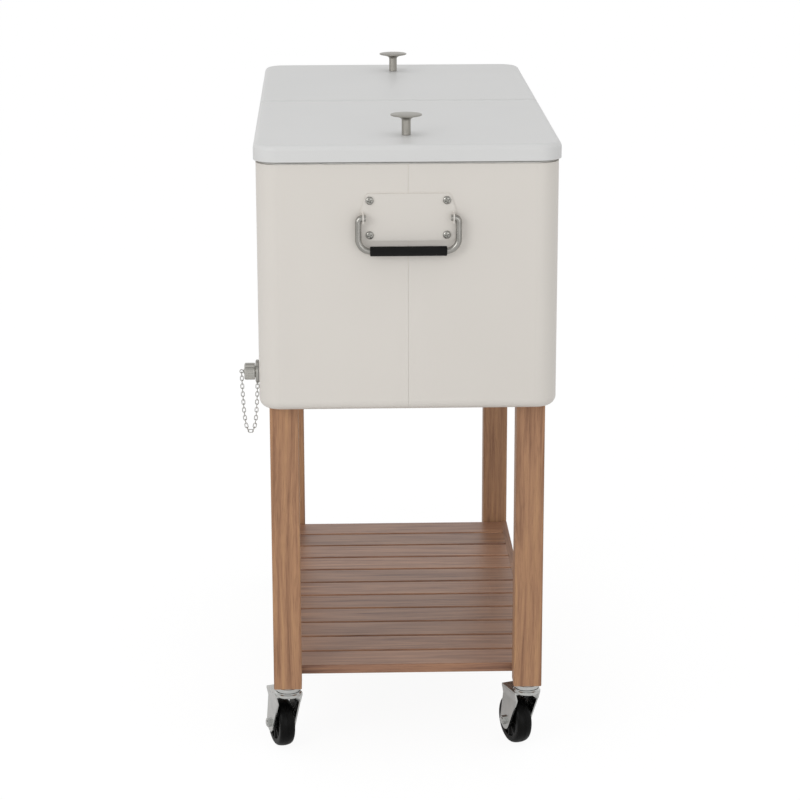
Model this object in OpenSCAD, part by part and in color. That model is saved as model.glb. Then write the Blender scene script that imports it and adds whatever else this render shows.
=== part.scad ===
// Patio cooler on four casters: insulated cabinet, two half lids, slatted shelf.
// Origin on the floor under the middle of the cooler, +X to the right end, +Y to the back, +Z up.

/* [Cabinet] */
// Length of the cabinet over its painted shells
body_len = 863; // [780:1:1000]
// Width of the cabinet over its painted shells
body_wid = 433; // [400:1:520]
// Height of the cabinet from its underside to the top of the shells
body_high = 361; // [320:1:440]
// Plan radius of the cabinet corners
corner_r = 32; // [28:1:40]
// Radius of the bottom edge
edge_r = 14; // [10:1:18]
// Thickness of the painted sheet
shell_t = 1.2; // [1:0.1:2]
// Width of the fold along the top of the shells
top_fold = 12; // [8:1:16]
// Width of the flat turned under the cabinet
under_fold = 66; // [64:1:80]
// Gap between the front and back shells
shell_gap = 0.2; // [0.1:0.1:1]
// Thickness of the base pan
pan_t = 1.5; // [1:0.1:3]

/* [Tub] */
// Insulated wall between shell and tub
wall_t = 24; // [22:1:34]
// Insulated floor under the tub
floor_t = 32.5; // [31.5:0.5:40]
// Thickness of the tub sheet
tub_t = 1.2; // [0.8:0.1:2]
// Plan radius of the tub corners
tub_r = 14; // [13:1:20]
// Radius where the tub wall meets its floor
tub_edge_r = 5.5; // [4:0.5:5.5]
// Distance from the tub flange to the edge of the shell
flange_inset = 3; // [2:0.5:5]
// Air gap left round the foam
foam_gap = 0.3; // [0.2:0.1:1]

/* [Lids] */
// How far the lids stand out past the cabinet
lid_over = 3.5; // [2:0.5:8]
// Height of a lid from its lower edge to its top
lid_high = 24; // [22:1:32]
// Gap between tub flange and the lower edge of a lid
lid_gap = 2.8; // [2.5:0.1:4]
// Half of the gap between the two lids
seam_half = 1.25; // [1:0.05:2]
// Radius of the top edge of a lid
lid_edge_r = 8; // [7:0.5:8]
// Plan radius of a lid's outer corners
lid_corner_r = 34; // [30:1:40]
// Plan radius of a lid's corners at the seam
seam_corner_r = 11; // [10:1:14]
// Thickness of the lid sheet
lid_t = 1.2; // [1:0.1:2]
// How far the inner tray reaches below the lid's lower edge
plug_deep = 10; // [6:1:20]
// Clearance between the inner tray and the tub wall
plug_clear = 8; // [7:1:14]
// Width of the lid seal
seal_w = 9; // [6:1:12]
// Clearance between the lid seal and the tub flange
seal_clear = 0.3; // [0.3:0.1:0.6]

/* [Lid hinge] */
// Radius of the hinge pins
pin_r = 3; // [2.5:0.5:4]
// Running clearance of the pins in the knuckles
pin_fit = 0.05; // [0.02:0.01:0.1]
// Wall of a hinge knuckle
knuckle_wall = 1.45; // [1.2:0.05:1.6]
// Length of a hinge knuckle
knuckle_len = 26; // [16:1:34]
// Thickness of a hinge ear
ear_t = 3; // [2:0.5:4]
// Side clearance of ears, knuckles and slots
ear_gap = 0.8; // [0.5:0.1:1.2]
// Distance from the tub wall to the outer hinge ears
ear_end = 12.5; // [10.5:0.5:40]
// Distance of the inner hinge ears from the middle
ear_near = 60; // [45:1:80]
// Half width of the hinge beam
beam_half = 26; // [26:1:28]
// Depth of the hinge beam
beam_deep = 18; // [14:1:26]
// Thickness of the beam and leaf sheet
beam_t = 1.5; // [1:0.1:2]
// How far a hinge leaf reaches from its pin
leaf_wid = 22; // [18:1:30]

/* [Knobs] */
// Distance from the end of the cabinet to a knob
knob_end = 86; // [82:0.5:130]
// Height of a knob above the lid
knob_high = 31.5; // [28:0.5:32]
// Radius of the knob disc
knob_r = 23; // [18:0.5:24]
// Radius of the knob stem
knob_stem_r = 6.5; // [5:0.5:9]
// Thickness of the knob disc
knob_disc_t = 4; // [3:0.5:6]
// Height of the cone under the knob disc
knob_cone = 4.5; // [3:0.5:7]

/* [Handles] */
// Height of the bail pivots above the underside of the cabinet
pivot_up = 286; // [240:1:306]
// Distance of the bail pivots from the shell
pivot_out = 12; // [11.5:0.5:16]
// Distance from a pivot down to the middle of the grip
bail_drop = 48; // [44:1:66]
// Distance of a bail arm from the middle
arm_y = 71.5; // [70:0.5:90]
// Radius of the bail rod
rod_r = 4.5; // [3.5:0.1:4.6]
// Running clearance of the bail in its ears
rod_fit = 0.1; // [0.05:0.01:0.1]
// Inside bend at the top of a bail arm, to the rod's middle
top_bend = 6; // [5.5:0.5:7]
// Bend at the bottom of a bail arm, to the rod's middle
low_bend = 18; // [12:1:24]
// Length of the grip
grip_len = 110; // [80:1:120]
// Radius of the grip
grip_r = 7; // [6.5:0.1:9]
// Distance from the bail pivots down to the lower edge of the handle plate
plate_under = 35; // [30:1:39]
// Thickness of the handle plate
plate_t = 2; // [1.5:0.1:3]
// Half width of the handle plate
plate_half = 68; // [66:0.5:72]
// Half width of the handle plate along its top
plate_top_half = 61; // [58:0.5:66]
// Height of the handle plate
plate_high = 68; // [60:1:90]
// Distance of the plate screws from the middle
plate_screw_y = 55; // [40:0.5:58]
// Distance between the rows of plate screws
plate_screw_z = 50; // [40:1:56]

/* [Legs and shelf] */
// Length of a leg
leg_len = 446; // [300:1:600]
// Width of a square leg
leg_w = 42; // [38:1:44]
// Radius of a leg's long edges
leg_edge_r = 3; // [1:0.5:6]
// Distance from the end of the cabinet to a leg
leg_end = 37.5; // [30:0.5:60]
// Distance from the side of the cabinet to a leg
leg_side = 14; // [14:0.5:30]
// Height of the shelf top above the leg ends
shelf_up = 21; // [18:1:60]
// Thickness of a slat
slat_t = 14; // [8:1:16]
// Width of a slat
slat_w = 59.5; // [30:0.5:61]
// Radius of a slat's long edges
slat_edge_r = 2; // [1:0.5:3]
// Number of slats
slat_n = 11; // [5:1:11]
// Gap between the end slats and the legs
slat_end = 2.6; // [1:0.1:6]
// Width of a shelf rail
rail_w = 20; // [16:1:30]
// Width of the ledge that carries the slats
ledge_w = 10; // [6:1:12]
// Clearance at the ends of the slats
slat_fit = 0.3; // [0.2:0.1:1]
// Radius of a shelf dowel
dowel_r = 3; // [2:0.5:3]
// Length of a shelf dowel
dowel_len = 30; // [20:1:40]

/* [Drain] */
// Distance from the end of the cabinet to the drain
drain_end = 50; // [49.5:0.5:80]
// Height of the drain above the tub floor
drain_up = 16.7; // [16.7:0.1:22]
// Outer radius of the spigot
spigot_r = 9; // [7:0.5:9]
// Wall of the spigot
spigot_wall = 3; // [2:0.5:3.5]
// How far the spigot stands out of the shell
spigot_out = 18.1; // [17:0.1:19]
// Radius of the outer flange
flange_r = 17.25; // [14:0.25:18]
// Thickness of the outer flange
flange_t = 4.5; // [3.5:0.1:5]
// Bevel on the flange's outer edge
flange_bevel = 1.3; // [0.5:0.1:2]
// Thickness of the sealing washers
washer_t = 1.2; // [0.8:0.1:2]
// Radius of the cap
cap_r = 12.5; // [11:0.5:14]
// Length of the cap
cap_len = 15.2; // [15:0.1:17]
// Gap between the flange and the cap
cap_gap = 1; // [0.5:0.1:2]
// Thickness of the cap's end
cap_end = 2.2; // [1.5:0.1:3]
// Distance from the cap's end to the middle of the chain eye
eye_out = 4.3; // [4.3:0.1:6]
// Running clearance of the cap on the spigot
cap_fit = 0.1; // [0.05:0.01:0.1]
// Number of grip grooves round the cap
cap_grooves = 24; // [12:1:36]

/* [Chain] */
// Length of a chain link over its ends
link_len = 8.8; // [8.6:0.1:9.2]
// Width of a chain link
link_wid = 5.6; // [5.4:0.1:6.2]
// Thickness of the link wire
wire = 1.2; // [1:0.1:1.3]
// Distance from link to link along the chain
chain_pitch = 6; // [5.8:0.05:6]
// Links between the lowest link and the flange
flange_links = 12; // [11:1:13]
// Radius of the holes that hold the chain
eye_hole_r = 1.9; // [1.8:0.05:2]

/* [Bottle opener] */
// Height of the opener above the underside of the cabinet
opener_up = 242; // [180:1:280]
// Width of the opener plate
opener_w = 46; // [40:1:60]
// Height of the opener plate
opener_h = 72; // [66:1:90]
// Thickness of the opener plate
opener_t = 4; // [3:0.5:6]
// Width of the hook
hook_w = 34; // [28:1:38]
// How far the hook stands out of the shell
hook_out = 27.9; // [24:0.1:30]

/* [Casters] */
// Radius of a wheel
wheel_r = 38; // [32:1:50]
// Width of a wheel at its tread
wheel_w = 24; // [20:1:26]
// Width of a wheel at its hub
hub_w = 30; // [27:0.5:30.5]
// Distance from the swivel pin to the axle, seen from above
trail = 38; // [32:1:42]
// Direction in which the front wheels trail, from the cooler's length
front_turn = 21.5; // [-30:0.5:30]
// Direction in which the back wheels trail, from the cooler's length
back_turn = 18.5; // [-30:0.5:30]
// Radius of an axle
axle_r = 4; // [3:0.5:5]
// Running clearance of the wheel on its axle and of the fork on its pin
spin_fit = 0.05; // [0.02:0.01:0.1]
// Gap between the wheel and the underside of the fork
crown_clear = 19.5; // [15:0.5:30]
// Thickness of the fork sheet
fork_t = 2.2; // [1.8:0.1:3]
// Half width of the fork at the axle, outside
fork_half = 18.5; // [18:0.1:19]
// Half width of the fork at its crown, outside
crown_half = 21.5; // [21:0.5:23]
// How far the swivel races stay inside the faces of a leg
race_in = 0.75; // [0.5:0.25:3]
// Height of the lower race above the crown
race_low = 5.4; // [4:0.1:7]
// Height of the upper race
race_up = 8.3; // [6:0.1:10]
// Gap between the two races
race_gap = 0.6; // [0.4:0.1:1]
// Radius of the swivel pin
king_r = 5; // [4:0.5:6]
// Radius of the stem inside the leg
stem_r = 5.5; // [4:0.5:8]
// Length of the stem inside the leg
stem_len = 38; // [25:1:60]

/* [Fasteners] */
// Radius of a panel screw
screw_r = 3; // [2.5:0.1:3]
// Radius of a panel screw's head
head_r = 5.8; // [5:0.1:6]
// Height of a panel screw's head
head_h = 3.2; // [2.5:0.1:3.6]
// Length of a panel screw under its head
screw_len = 14; // [8:1:18]
// Radius of a slat screw
wood_screw_r = 1.9; // [1.5:0.1:2.2]
// Radius of a leg stud
stud_r = 4; // [3:0.5:5]
// Length of a leg stud inside the leg
stud_len = 50; // [30:1:80]
// How far a nut plate stays inside the faces of a leg
nut_in = 2; // [1:0.5:6]
// Thickness of a nut plate
nut_t = 4; // [3:0.5:6]
// Clearance of a fixed pin or screw in its hole
hole_fit = 0.1; // [0.1:0.05:0.3]

/* [Hidden] */
$fn = 48;
painted = "#d9d4cc";
lid_paint = "#d8d7d4";
steel = "#b9bbbd";
dark_steel = "#8d9194";
teak = "#a57c5c";
slat_wood = "#8a6c5e";
black = "#1d1d1f";
foam = "#efe6c8";
rubber = "#4a4a4c";

// Heights, worked up from the floor
crown_low = 2 * wheel_r + crown_clear;
crown_top = crown_low + fork_t;
race_top = crown_top + race_low;
cup_low = race_top + race_gap;
leg_low = cup_low + race_up;
body_low = leg_low + leg_len;
body_top = body_low + body_high;
rim_top = body_top + tub_t;
lid_low = rim_top + lid_gap;
lid_top = lid_low + lid_high;
shelf_top = leg_low + shelf_up;
pan_low = body_low + shell_t;
pan_top = pan_low + pan_t;

// Plan sizes
half_len = body_len / 2;
half_wid = body_wid / 2;
tub_half_len = half_len - wall_t;
tub_half_wid = half_wid - wall_t;
tub_low = body_low + floor_t - tub_t;
lid_half_len = half_len + lid_over;
lid_wid = body_wid + 2 * lid_over;
leg_x = half_len - leg_end - leg_w / 2;
leg_y = half_wid - leg_side - leg_w / 2;

// Hinge
pivot_in = lid_edge_r - seam_half;
hinge_x = seam_half + pivot_in;
hinge_z = lid_top - pivot_in;
knuckle_r = pin_r + pin_fit + knuckle_wall;
leaf_top = lid_top - lid_t;
leaf_out = hinge_x + leaf_wid;
slot_half = ear_t / 2 + ear_gap + 0.2;
ear_far = tub_half_wid - ear_end;
ear_places = [-ear_far, -ear_near, ear_near, ear_far];
pin_head_t = 1.5;
stem_in = 0.3;
stem_out = 7;
tray_in = hinge_x + knuckle_r + 3.5;
plug_in = beam_half + 4;

// Knob
knob_x = half_len - knob_end;
knob_base = lid_top;

// Handles
pivot_x = half_len + pivot_out;
pivot_z = body_low + pivot_up;
grip_z = pivot_z - bail_drop;
plate_low = pivot_z - plate_under;
ear_in_y = arm_y - top_bend - plate_t;
screw_low_z = plate_low + 8.5;

// Shelf
rail_len = 2 * (leg_x - leg_w / 2);
slat_span = rail_len - 2 * slat_end;
slat_pitch = (slat_span - slat_w) / (slat_n - 1);
slat_len = 2 * (leg_y + leg_w / 2 - rail_w + ledge_w - slat_fit);
rail_mid_y = leg_y + leg_w / 2 - rail_w / 2;
ledge_high = shelf_up - slat_t;
dowel_y = leg_y + leg_w / 2 - (rail_w - ledge_w) / 2 - 0.5;
dowel_places = [5.5, 15.5];

// Drain
drain_x = -(half_len - drain_end);
drain_z = tub_low + drain_up;
flange_y = half_wid + washer_t;
cap_y = flange_y + flange_t + cap_gap;
cap_stop = cap_y + cap_len;
spigot_stop = half_wid + spigot_out;
spigot_head_r = spigot_r + 3.5;
spigot_head_t = 2.5;
eye_shaft_r = 2;
eye_tab_r = 3;
eye_tab_t = 1.4;
eye_collar_t = 0.8;
eye_root = 0.8;
eye_y = cap_stop + eye_out;
hang = eye_hole_r - wire / 2 - 0.4;

// Chain: equal links hang with the tangent of their slope growing evenly from link to link.
// The steepness is found so that the chain spans the way from the flange's lug to the cap's eye.
cap_links = flange_links + 3;
lug_t = 1.4;
lug_r = 3.2;
lug_y = half_wid + link_wid / 2 + 0.4;
link_half = (link_len - wire) / 2;
link_reach = link_half - chain_pitch / 2;
function run(n, c) = n < 1 ? 0 : run(n - 1, c) + chain_pitch * cos(atan(c * n));
function rise(n, c) = n < 1 ? 0 : rise(n - 1, c) + chain_pitch * sin(atan(c * n));
function span(c) = run(cap_links, c) + run(flange_links, c) + chain_pitch
    + link_reach * (cos(atan(c * cap_links)) + cos(atan(c * flange_links)));
function steepness(low, high, steps) = let(mid = (low + high) / 2)
    steps < 1 ? mid : span(mid) > eye_y - lug_y ? steepness(mid, high, steps - 1)
    : steepness(low, mid, steps - 1);
steep = steepness(0.3, 12, 30);
function slope(k) = atan(steep * k);
low_y = eye_y - link_reach * cos(slope(cap_links)) - run(cap_links, steep) - chain_pitch / 2;
low_z = drain_z - hang - link_reach * sin(slope(cap_links)) - rise(cap_links, steep);
lug_z = low_z + rise(flange_links, steep) + link_reach * sin(slope(flange_links)) + hang;

// Opener
opener_z = body_low + opener_up;

// Casters
stem_top = leg_low + stem_len;
race_r = leg_w / 2 - race_in;
nut_side = leg_w - 2 * nut_in;
king_head_r = 8;
king_head_t = 2.5;
arm_end_r = 14.5;
arm_front = -4;
arm_back = 42;
crown_rib = 2;
crown_disc_r = king_head_r + 6;
front_drop = 14;
back_drop = 8;
fork_in = fork_half - fork_t;

// Rectangle from x0 to x1, centred on Y, with corner radius r0 at x0 and r1 at x1
module plan_2d(x0, x1, wid, r0, r1) {
    translate([x0 + r0, -wid / 2]) square([x1 - x0 - r0 - r1, wid]);
    translate([x0, -wid / 2 + r0]) square([r0, wid - 2 * r0]);
    translate([x1 - r1, -wid / 2 + r1]) square([r1, wid - 2 * r1]);
    for (s = [-1, 1]) {
        translate([x0 + r0, s * (wid / 2 - r0)]) circle(r0);
        translate([x1 - r1, s * (wid / 2 - r1)]) circle(r1);
    }
}

// The same outline as a flat slab between two heights
module slab(x0, x1, wid, r0, r1, z0, z1) {
    translate([0, 0, z0]) linear_extrude(z1 - z0) plan_2d(x0, x1, wid, r0, r1);
}

// Carries a section, drawn with its outer face at 0 and its inside negative, round such an outline
module rim_sweep(x0, x1, wid, r0, r1) {
    half = wid / 2;
    for (s = [-1, 1]) {
        translate([x0 + r0, s * (half - r0), 0]) rotate([0, 0, s > 0 ? 90 : 180])
            rotate_extrude(angle = 90) translate([r0, 0]) children();
        translate([x1 - r1, s * (half - r1), 0]) rotate([0, 0, s > 0 ? 0 : -90])
            rotate_extrude(angle = 90) translate([r1, 0]) children();
        mirror([0, s > 0 ? 0 : 1, 0]) translate([x0 + r0, half, 0])
            rotate([90, 0, 90]) linear_extrude(x1 - x0 - r0 - r1) children();
    }
    translate([x1, half - r1, 0]) rotate([90, 0, 0]) linear_extrude(wid - 2 * r1) children();
    translate([x0, half - r0, 0]) mirror([1, 0, 0]) rotate([90, 0, 0])
        linear_extrude(wid - 2 * r0) children();
}

// Quarter of a flat ring, in the upper right
module quarter_ring_2d(r, t) {
    intersection() {
        difference() {
            circle(r);
            circle(r - t);
        }
        square(r);
    }
}

// Straight round bar along Y from y0 to y1
module bar_y(r, y0, y1) {
    translate([0, y0, 0]) rotate([-90, 0, 0]) cylinder(r = r, h = y1 - y0);
}

// Straight round bar along X from x0 to x1
module bar_x(r, x0, x1) {
    translate([x0, 0, 0]) rotate([0, 90, 0]) cylinder(r = r, h = x1 - x0);
}

// Places children on an end of the cabinet: local +X points out of the left (-1) or right (1) end
module at_end(s) {
    rotate([0, 0, s > 0 ? 0 : 180]) children();
}

// Section of the painted wall: fold at the top, round edge at the bottom
module shell_section_2d() {
    translate([-shell_t, body_low + edge_r]) square([shell_t, body_high - edge_r]);
    translate([-top_fold, body_top - shell_t]) square([top_fold, shell_t]);
    translate([-edge_r, body_low + edge_r]) mirror([0, 1]) quarter_ring_2d(edge_r, shell_t);
    translate([-edge_r - 2, body_low]) square([2, shell_t]);
}

// Places of the four screws of each handle plate, on both ends
module each_plate_screw() {
    for (s = [-1, 1]) at_end(s)
        for (y = [-plate_screw_y, plate_screw_y], z = [screw_low_z, screw_low_z + plate_screw_z])
            translate([half_len, y, z]) children();
}

// Places of the two opener screws, turned so that local +X points out of the front
module each_opener_screw() {
    for (z = [-1, 1]) translate([0, -half_wid, opener_z + z * (opener_h / 2 - 9)])
        rotate([0, 0, -90]) children();
}

module whole_shell() {
    difference() {
        union() {
            rim_sweep(-half_len, half_len, body_wid, corner_r, corner_r) shell_section_2d();
            difference() {
                slab(-half_len + edge_r + 1, half_len - edge_r - 1, body_wid - 2 * edge_r - 2,
                     corner_r - edge_r - 1, corner_r - edge_r - 1, body_low, body_low + shell_t);
                slab(-half_len + edge_r + under_fold, half_len - edge_r - under_fold,
                     body_wid - 2 * (edge_r + under_fold), 6, 6, body_low - 1, body_low + 3);
            }
        }
        each_plate_screw() bar_x(screw_r + hole_fit, -6, 3);
        each_opener_screw() bar_x(screw_r + hole_fit, -6, 3);
        translate([drain_x, 0, drain_z]) bar_y(spigot_r + hole_fit, half_wid - 6, half_wid + 3);
        for (x = [-leg_x, leg_x], y = [-leg_y, leg_y])
            translate([x, y, body_low - 1]) cylinder(r = stud_r + hole_fit, h = 4);
    }
}

// Front (-1) or back (1) half of the painted wrap
module shell_half(s) {
    color(painted) intersection() {
        whole_shell();
        translate([-half_len - 10, s > 0 ? shell_gap / 2 : -half_wid - 10, body_low - 5])
            cube([body_len + 20, half_wid + 10 - shell_gap / 2, body_high + 20]);
    }
}

module front_shell() { shell_half(-1); }

module back_shell() { shell_half(1); }

module base_pan() {
    inset = edge_r + 2;
    color(dark_steel) difference() {
        slab(-half_len + inset, half_len - inset, body_wid - 2 * inset,
             corner_r - inset, corner_r - inset, pan_low, pan_top);
        for (x = [-leg_x, leg_x], y = [-leg_y, leg_y])
            translate([x, y, pan_low - 1]) cylinder(r = stud_r + hole_fit, h = pan_t + 2);
    }
}

// Section of the tub wall: flange outwards at the top, round edge to the floor
module tub_section_2d() {
    translate([-tub_t, tub_low + tub_edge_r]) square([tub_t, rim_top - tub_low - tub_edge_r]);
    translate([-tub_t, body_top]) square([wall_t - flange_inset + tub_t, tub_t]);
    translate([-tub_edge_r, tub_low + tub_edge_r]) mirror([0, 1]) quarter_ring_2d(tub_edge_r, tub_t);
    translate([-tub_edge_r - 2, tub_low]) square([2, tub_t]);
}

module tub() {
    color(steel) difference() {
        union() {
            rim_sweep(-tub_half_len, tub_half_len, 2 * tub_half_wid, tub_r, tub_r) tub_section_2d();
            slab(-tub_half_len + tub_edge_r + 1, tub_half_len - tub_edge_r - 1,
                 2 * (tub_half_wid - tub_edge_r - 1), tub_r - tub_edge_r - 1, tub_r - tub_edge_r - 1,
                 tub_low, tub_low + tub_t);
        }
        translate([drain_x, 0, drain_z]) bar_y(spigot_r + hole_fit, tub_half_wid - 4, tub_half_wid + 4);
    }
}

module insulation() {
    side = shell_t + foam_gap;
    low_inset = edge_r + foam_gap;
    tub_gap = tub_half_len + foam_gap;
    color(foam) difference() {
        union() {
            slab(-half_len + side, half_len - side, body_wid - 2 * side,
                 corner_r - side, corner_r - side, body_low + edge_r, body_top - shell_t - foam_gap);
            slab(-half_len + low_inset, half_len - low_inset, body_wid - 2 * low_inset,
                 corner_r - low_inset, corner_r - low_inset, pan_top + foam_gap, body_low + edge_r);
        }
        slab(-tub_gap, tub_gap, 2 * (tub_half_wid + foam_gap), tub_r, tub_r,
             tub_low - foam_gap, body_top + 1);
        translate([drain_x, 0, drain_z]) bar_y(spigot_r + foam_gap, 0, half_wid);
        each_plate_screw() bar_x(screw_r + foam_gap, -screw_len, 1);
        each_opener_screw() bar_x(screw_r + foam_gap, -screw_len, 1);
        for (x = [-leg_x, leg_x], y = [-leg_y, leg_y])
            translate([x - nut_side / 2 - foam_gap, y - nut_side / 2 - foam_gap, pan_top - 1])
                cube([nut_side + 2 * foam_gap, nut_side + 2 * foam_gap, nut_t + 1 + foam_gap]);
        for (x = [-leg_x, leg_x], y = [-leg_y, leg_y])
            translate([x, y, pan_top]) cylinder(r = stud_r + foam_gap, h = nut_t + 5);
    }
}

// One hinge ear: a round eye on an upright that stands on the beam, outside the seam wall's sweep
module hinge_ear(s, y) {
    foot = rim_top - beam_t - hinge_z;
    at_end(s) translate([hinge_x, y, hinge_z]) difference() {
        union() {
            bar_y(knuckle_r, -ear_t / 2, ear_t / 2);
            translate([0, ear_t / 2, 0]) rotate([90, 0, 0]) linear_extrude(ear_t)
                polygon([[stem_in, foot], [stem_out, foot], [stem_out, -6], [4, -1], [stem_in, 0]]);
        }
        bar_y(pin_r, -ear_t, ear_t);
    }
}

module hinge_beam() {
    reach = tub_half_wid - tub_t - 0.3;
    color(steel) {
        difference() {
            translate([-beam_half, -reach, rim_top - beam_deep])
                cube([2 * beam_half, 2 * reach, beam_deep]);
            translate([-beam_half + beam_t, -reach + beam_t, rim_top - beam_deep - 1])
                cube([2 * (beam_half - beam_t), 2 * (reach - beam_t), beam_deep + 1 - beam_t]);
        }
        for (s = [-1, 1], y = ear_places) hinge_ear(s, y);
    }
}

module hinge_pins() {
    reach = ear_far + ear_t / 2 + 0.2;
    color(steel) for (s = [-1, 1]) translate([s * hinge_x, 0, hinge_z]) {
        bar_y(pin_r, -reach, reach);
        for (m = [0, 1]) mirror([0, m, 0]) bar_y(pin_r + 1.5, reach, reach + pin_head_t);
    }
}

// Square leg with rounded long edges, bored for its stud, its caster stem and the shelf dowels
module leg(sx, sy) {
    difference() {
        slab(sx * leg_x - leg_w / 2, sx * leg_x + leg_w / 2, leg_w, leg_edge_r, leg_edge_r,
             leg_low, body_low);
        translate([sx * leg_x, 0, body_low - stud_len - 1])
            cylinder(r = stud_r + hole_fit, h = stud_len + 2);
        translate([sx * leg_x, 0, leg_low - 1]) cylinder(r = stem_r + hole_fit, h = stem_len + 2);
        for (z = dowel_places)
            translate([sx * (leg_x - leg_w / 2), sy * (dowel_y - leg_y), leg_low + z])
                bar_x(dowel_r + hole_fit, -dowel_len / 2 - 1, dowel_len / 2 + 1);
    }
}

module legs() {
    color(teak) for (sx = [-1, 1], sy = [-1, 1]) translate([0, sy * leg_y, 0]) leg(sx, sy);
}

module leg_studs() {
    color(steel) for (x = [-leg_x, leg_x], y = [-leg_y, leg_y])
        translate([x, y, body_low - stud_len])
            cylinder(r = stud_r, h = stud_len + pan_top - body_low + nut_t);
}

module nut_plates() {
    color(steel) for (x = [-leg_x, leg_x], y = [-leg_y, leg_y]) difference() {
        translate([x - nut_side / 2, y - nut_side / 2, pan_top]) cube([nut_side, nut_side, nut_t]);
        translate([x, y, pan_top - 1]) cylinder(r = stud_r + hole_fit, h = nut_t + 2);
    }
}

// Places of the slats along the shelf
function slat_x(i) = -slat_span / 2 + slat_w / 2 + i * slat_pitch;

module shelf_rails() {
    color(slat_wood) for (m = [0, 1]) mirror([0, m, 0]) difference() {
        translate([-rail_len / 2, rail_mid_y - rail_w / 2, leg_low]) cube([rail_len, rail_w, shelf_up]);
        translate([-rail_len / 2 - 1, rail_mid_y - rail_w / 2 - 1, leg_low + ledge_high])
            cube([rail_len + 2, ledge_w + 1, slat_t + 1]);
        for (i = [0 : slat_n - 1])
            translate([slat_x(i), rail_mid_y - rail_w / 2 + ledge_w / 2, leg_low - 1])
                cylinder(r = wood_screw_r + hole_fit, h = ledge_high + 2);
        for (s = [-1, 1], z = dowel_places) translate([s * rail_len / 2, dowel_y, leg_low + z])
            bar_x(dowel_r + hole_fit, -dowel_len / 2 - 1, dowel_len / 2 + 1);
    }
}

module shelf_slats() {
    color(slat_wood) for (i = [0 : slat_n - 1]) difference() {
        translate([slat_x(i), slat_len / 2, shelf_top - slat_t / 2]) rotate([90, 0, 0])
            linear_extrude(slat_len)
                plan_2d(-slat_w / 2, slat_w / 2, slat_t, slat_edge_r, slat_edge_r);
        for (s = [-1, 1])
            translate([slat_x(i), s * (rail_mid_y - rail_w / 2 + ledge_w / 2), shelf_top - slat_t - 1])
                cylinder(r = wood_screw_r + hole_fit, h = slat_t - 3);
    }
}

module slat_screws() {
    color(steel) for (i = [0 : slat_n - 1], s = [-1, 1])
        translate([slat_x(i), s * (rail_mid_y - rail_w / 2 + ledge_w / 2), leg_low]) {
            translate([0, 0, -1.6]) cylinder(r = 2 * wood_screw_r, h = 1.6);
            cylinder(r = wood_screw_r, h = ledge_high + slat_t - 5);
        }
}

module rail_dowels() {
    color(teak) for (sx = [-1, 1], sy = [-1, 1], z = dowel_places)
        translate([sx * rail_len / 2, sy * dowel_y, leg_low + z])
            bar_x(dowel_r, -dowel_len / 2, dowel_len / 2);
}

// Painted plate with two folded ears that carry the bail
module handle_plate(s) {
    plate_top = plate_low + plate_high;
    corner_z = pivot_z + 8;
    ear_out = pivot_out + rod_r + 2;
    color(painted) at_end(s) difference() {
        union() {
            translate([half_len, 0, 0]) rotate([90, 0, 90]) linear_extrude(plate_t) polygon([
                [-plate_half + 4, plate_low], [plate_half - 4, plate_low], [plate_half, plate_low + 4],
                [plate_half, corner_z], [plate_top_half, plate_top - 3],
                [plate_top_half - 3, plate_top], [-plate_top_half + 3, plate_top],
                [-plate_top_half, plate_top - 3], [-plate_half, corner_z],
                [-plate_half, plate_low + 4]]);
            for (m = [0, 1]) mirror([0, m, 0]) {
                translate([pivot_x, 0, pivot_z]) bar_y(rod_r + 2, ear_in_y, ear_in_y + plate_t);
                translate([half_len, ear_in_y, pivot_z - 9]) cube([pivot_out, plate_t, 15.5]);
                translate([half_len, ear_in_y, pivot_z - 6.5]) cube([ear_out - 2, plate_t, 9]);
            }
        }
        translate([pivot_x, 0, pivot_z]) bar_y(rod_r + rod_fit, -plate_half, plate_half);
        for (y = [-plate_screw_y, plate_screw_y], z = [screw_low_z, screw_low_z + plate_screw_z])
            translate([half_len, y, z]) bar_x(screw_r + hole_fit, -1, plate_t + 1);
    }
}

module left_handle_plate() { handle_plate(-1); }

module right_handle_plate() { handle_plate(1); }

// Pan head screw, its head on the outside of a plate of thickness t
module pan_screw(t) {
    bar_x(screw_r, t - screw_len, t);
    translate([t, 0, 0]) rotate([0, 90, 0]) {
        cylinder(r = head_r, h = head_h * 0.6);
        translate([0, 0, head_h * 0.6]) cylinder(r1 = head_r, r2 = head_r * 0.7, h = head_h * 0.4);
    }
}

module panel_screws() {
    color(steel) {
        each_plate_screw() pan_screw(plate_t);
        each_opener_screw() pan_screw(opener_t);
    }
}

// Threaded outlet: head inside the tub, tube through the wall
module drain_spigot() {
    head_y = tub_half_wid - tub_t - washer_t;
    color(steel) translate([drain_x, 0, drain_z]) difference() {
        union() {
            bar_y(spigot_r, head_y - 1, spigot_stop);
            bar_y(spigot_head_r, head_y - spigot_head_t, head_y);
        }
        bar_y(spigot_r - spigot_wall, head_y - spigot_head_t - 1, spigot_stop + 1);
    }
}

// Outer flange with the lug that holds the chain
module drain_flange() {
    color(steel) difference() {
        union() {
            translate([drain_x, flange_y, drain_z]) rotate([-90, 0, 0]) {
                cylinder(r = flange_r, h = flange_t - flange_bevel);
                translate([0, 0, flange_t - flange_bevel])
                    cylinder(r1 = flange_r, r2 = flange_r - 2 * flange_bevel, h = flange_bevel);
            }
            translate([drain_x, 0, lug_z]) bar_y(lug_r, lug_y - lug_t / 2, lug_y + lug_t / 2);
            translate([drain_x - lug_r, lug_y - lug_t / 2, lug_z])
                cube([2 * lug_r, lug_t, drain_z - flange_r + 3 - lug_z]);
        }
        translate([drain_x, 0, drain_z]) bar_y(spigot_r + hole_fit, half_wid, half_wid + 10);
        translate([drain_x, 0, lug_z]) bar_y(eye_hole_r, lug_y - 2, lug_y + 2);
    }
}

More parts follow.
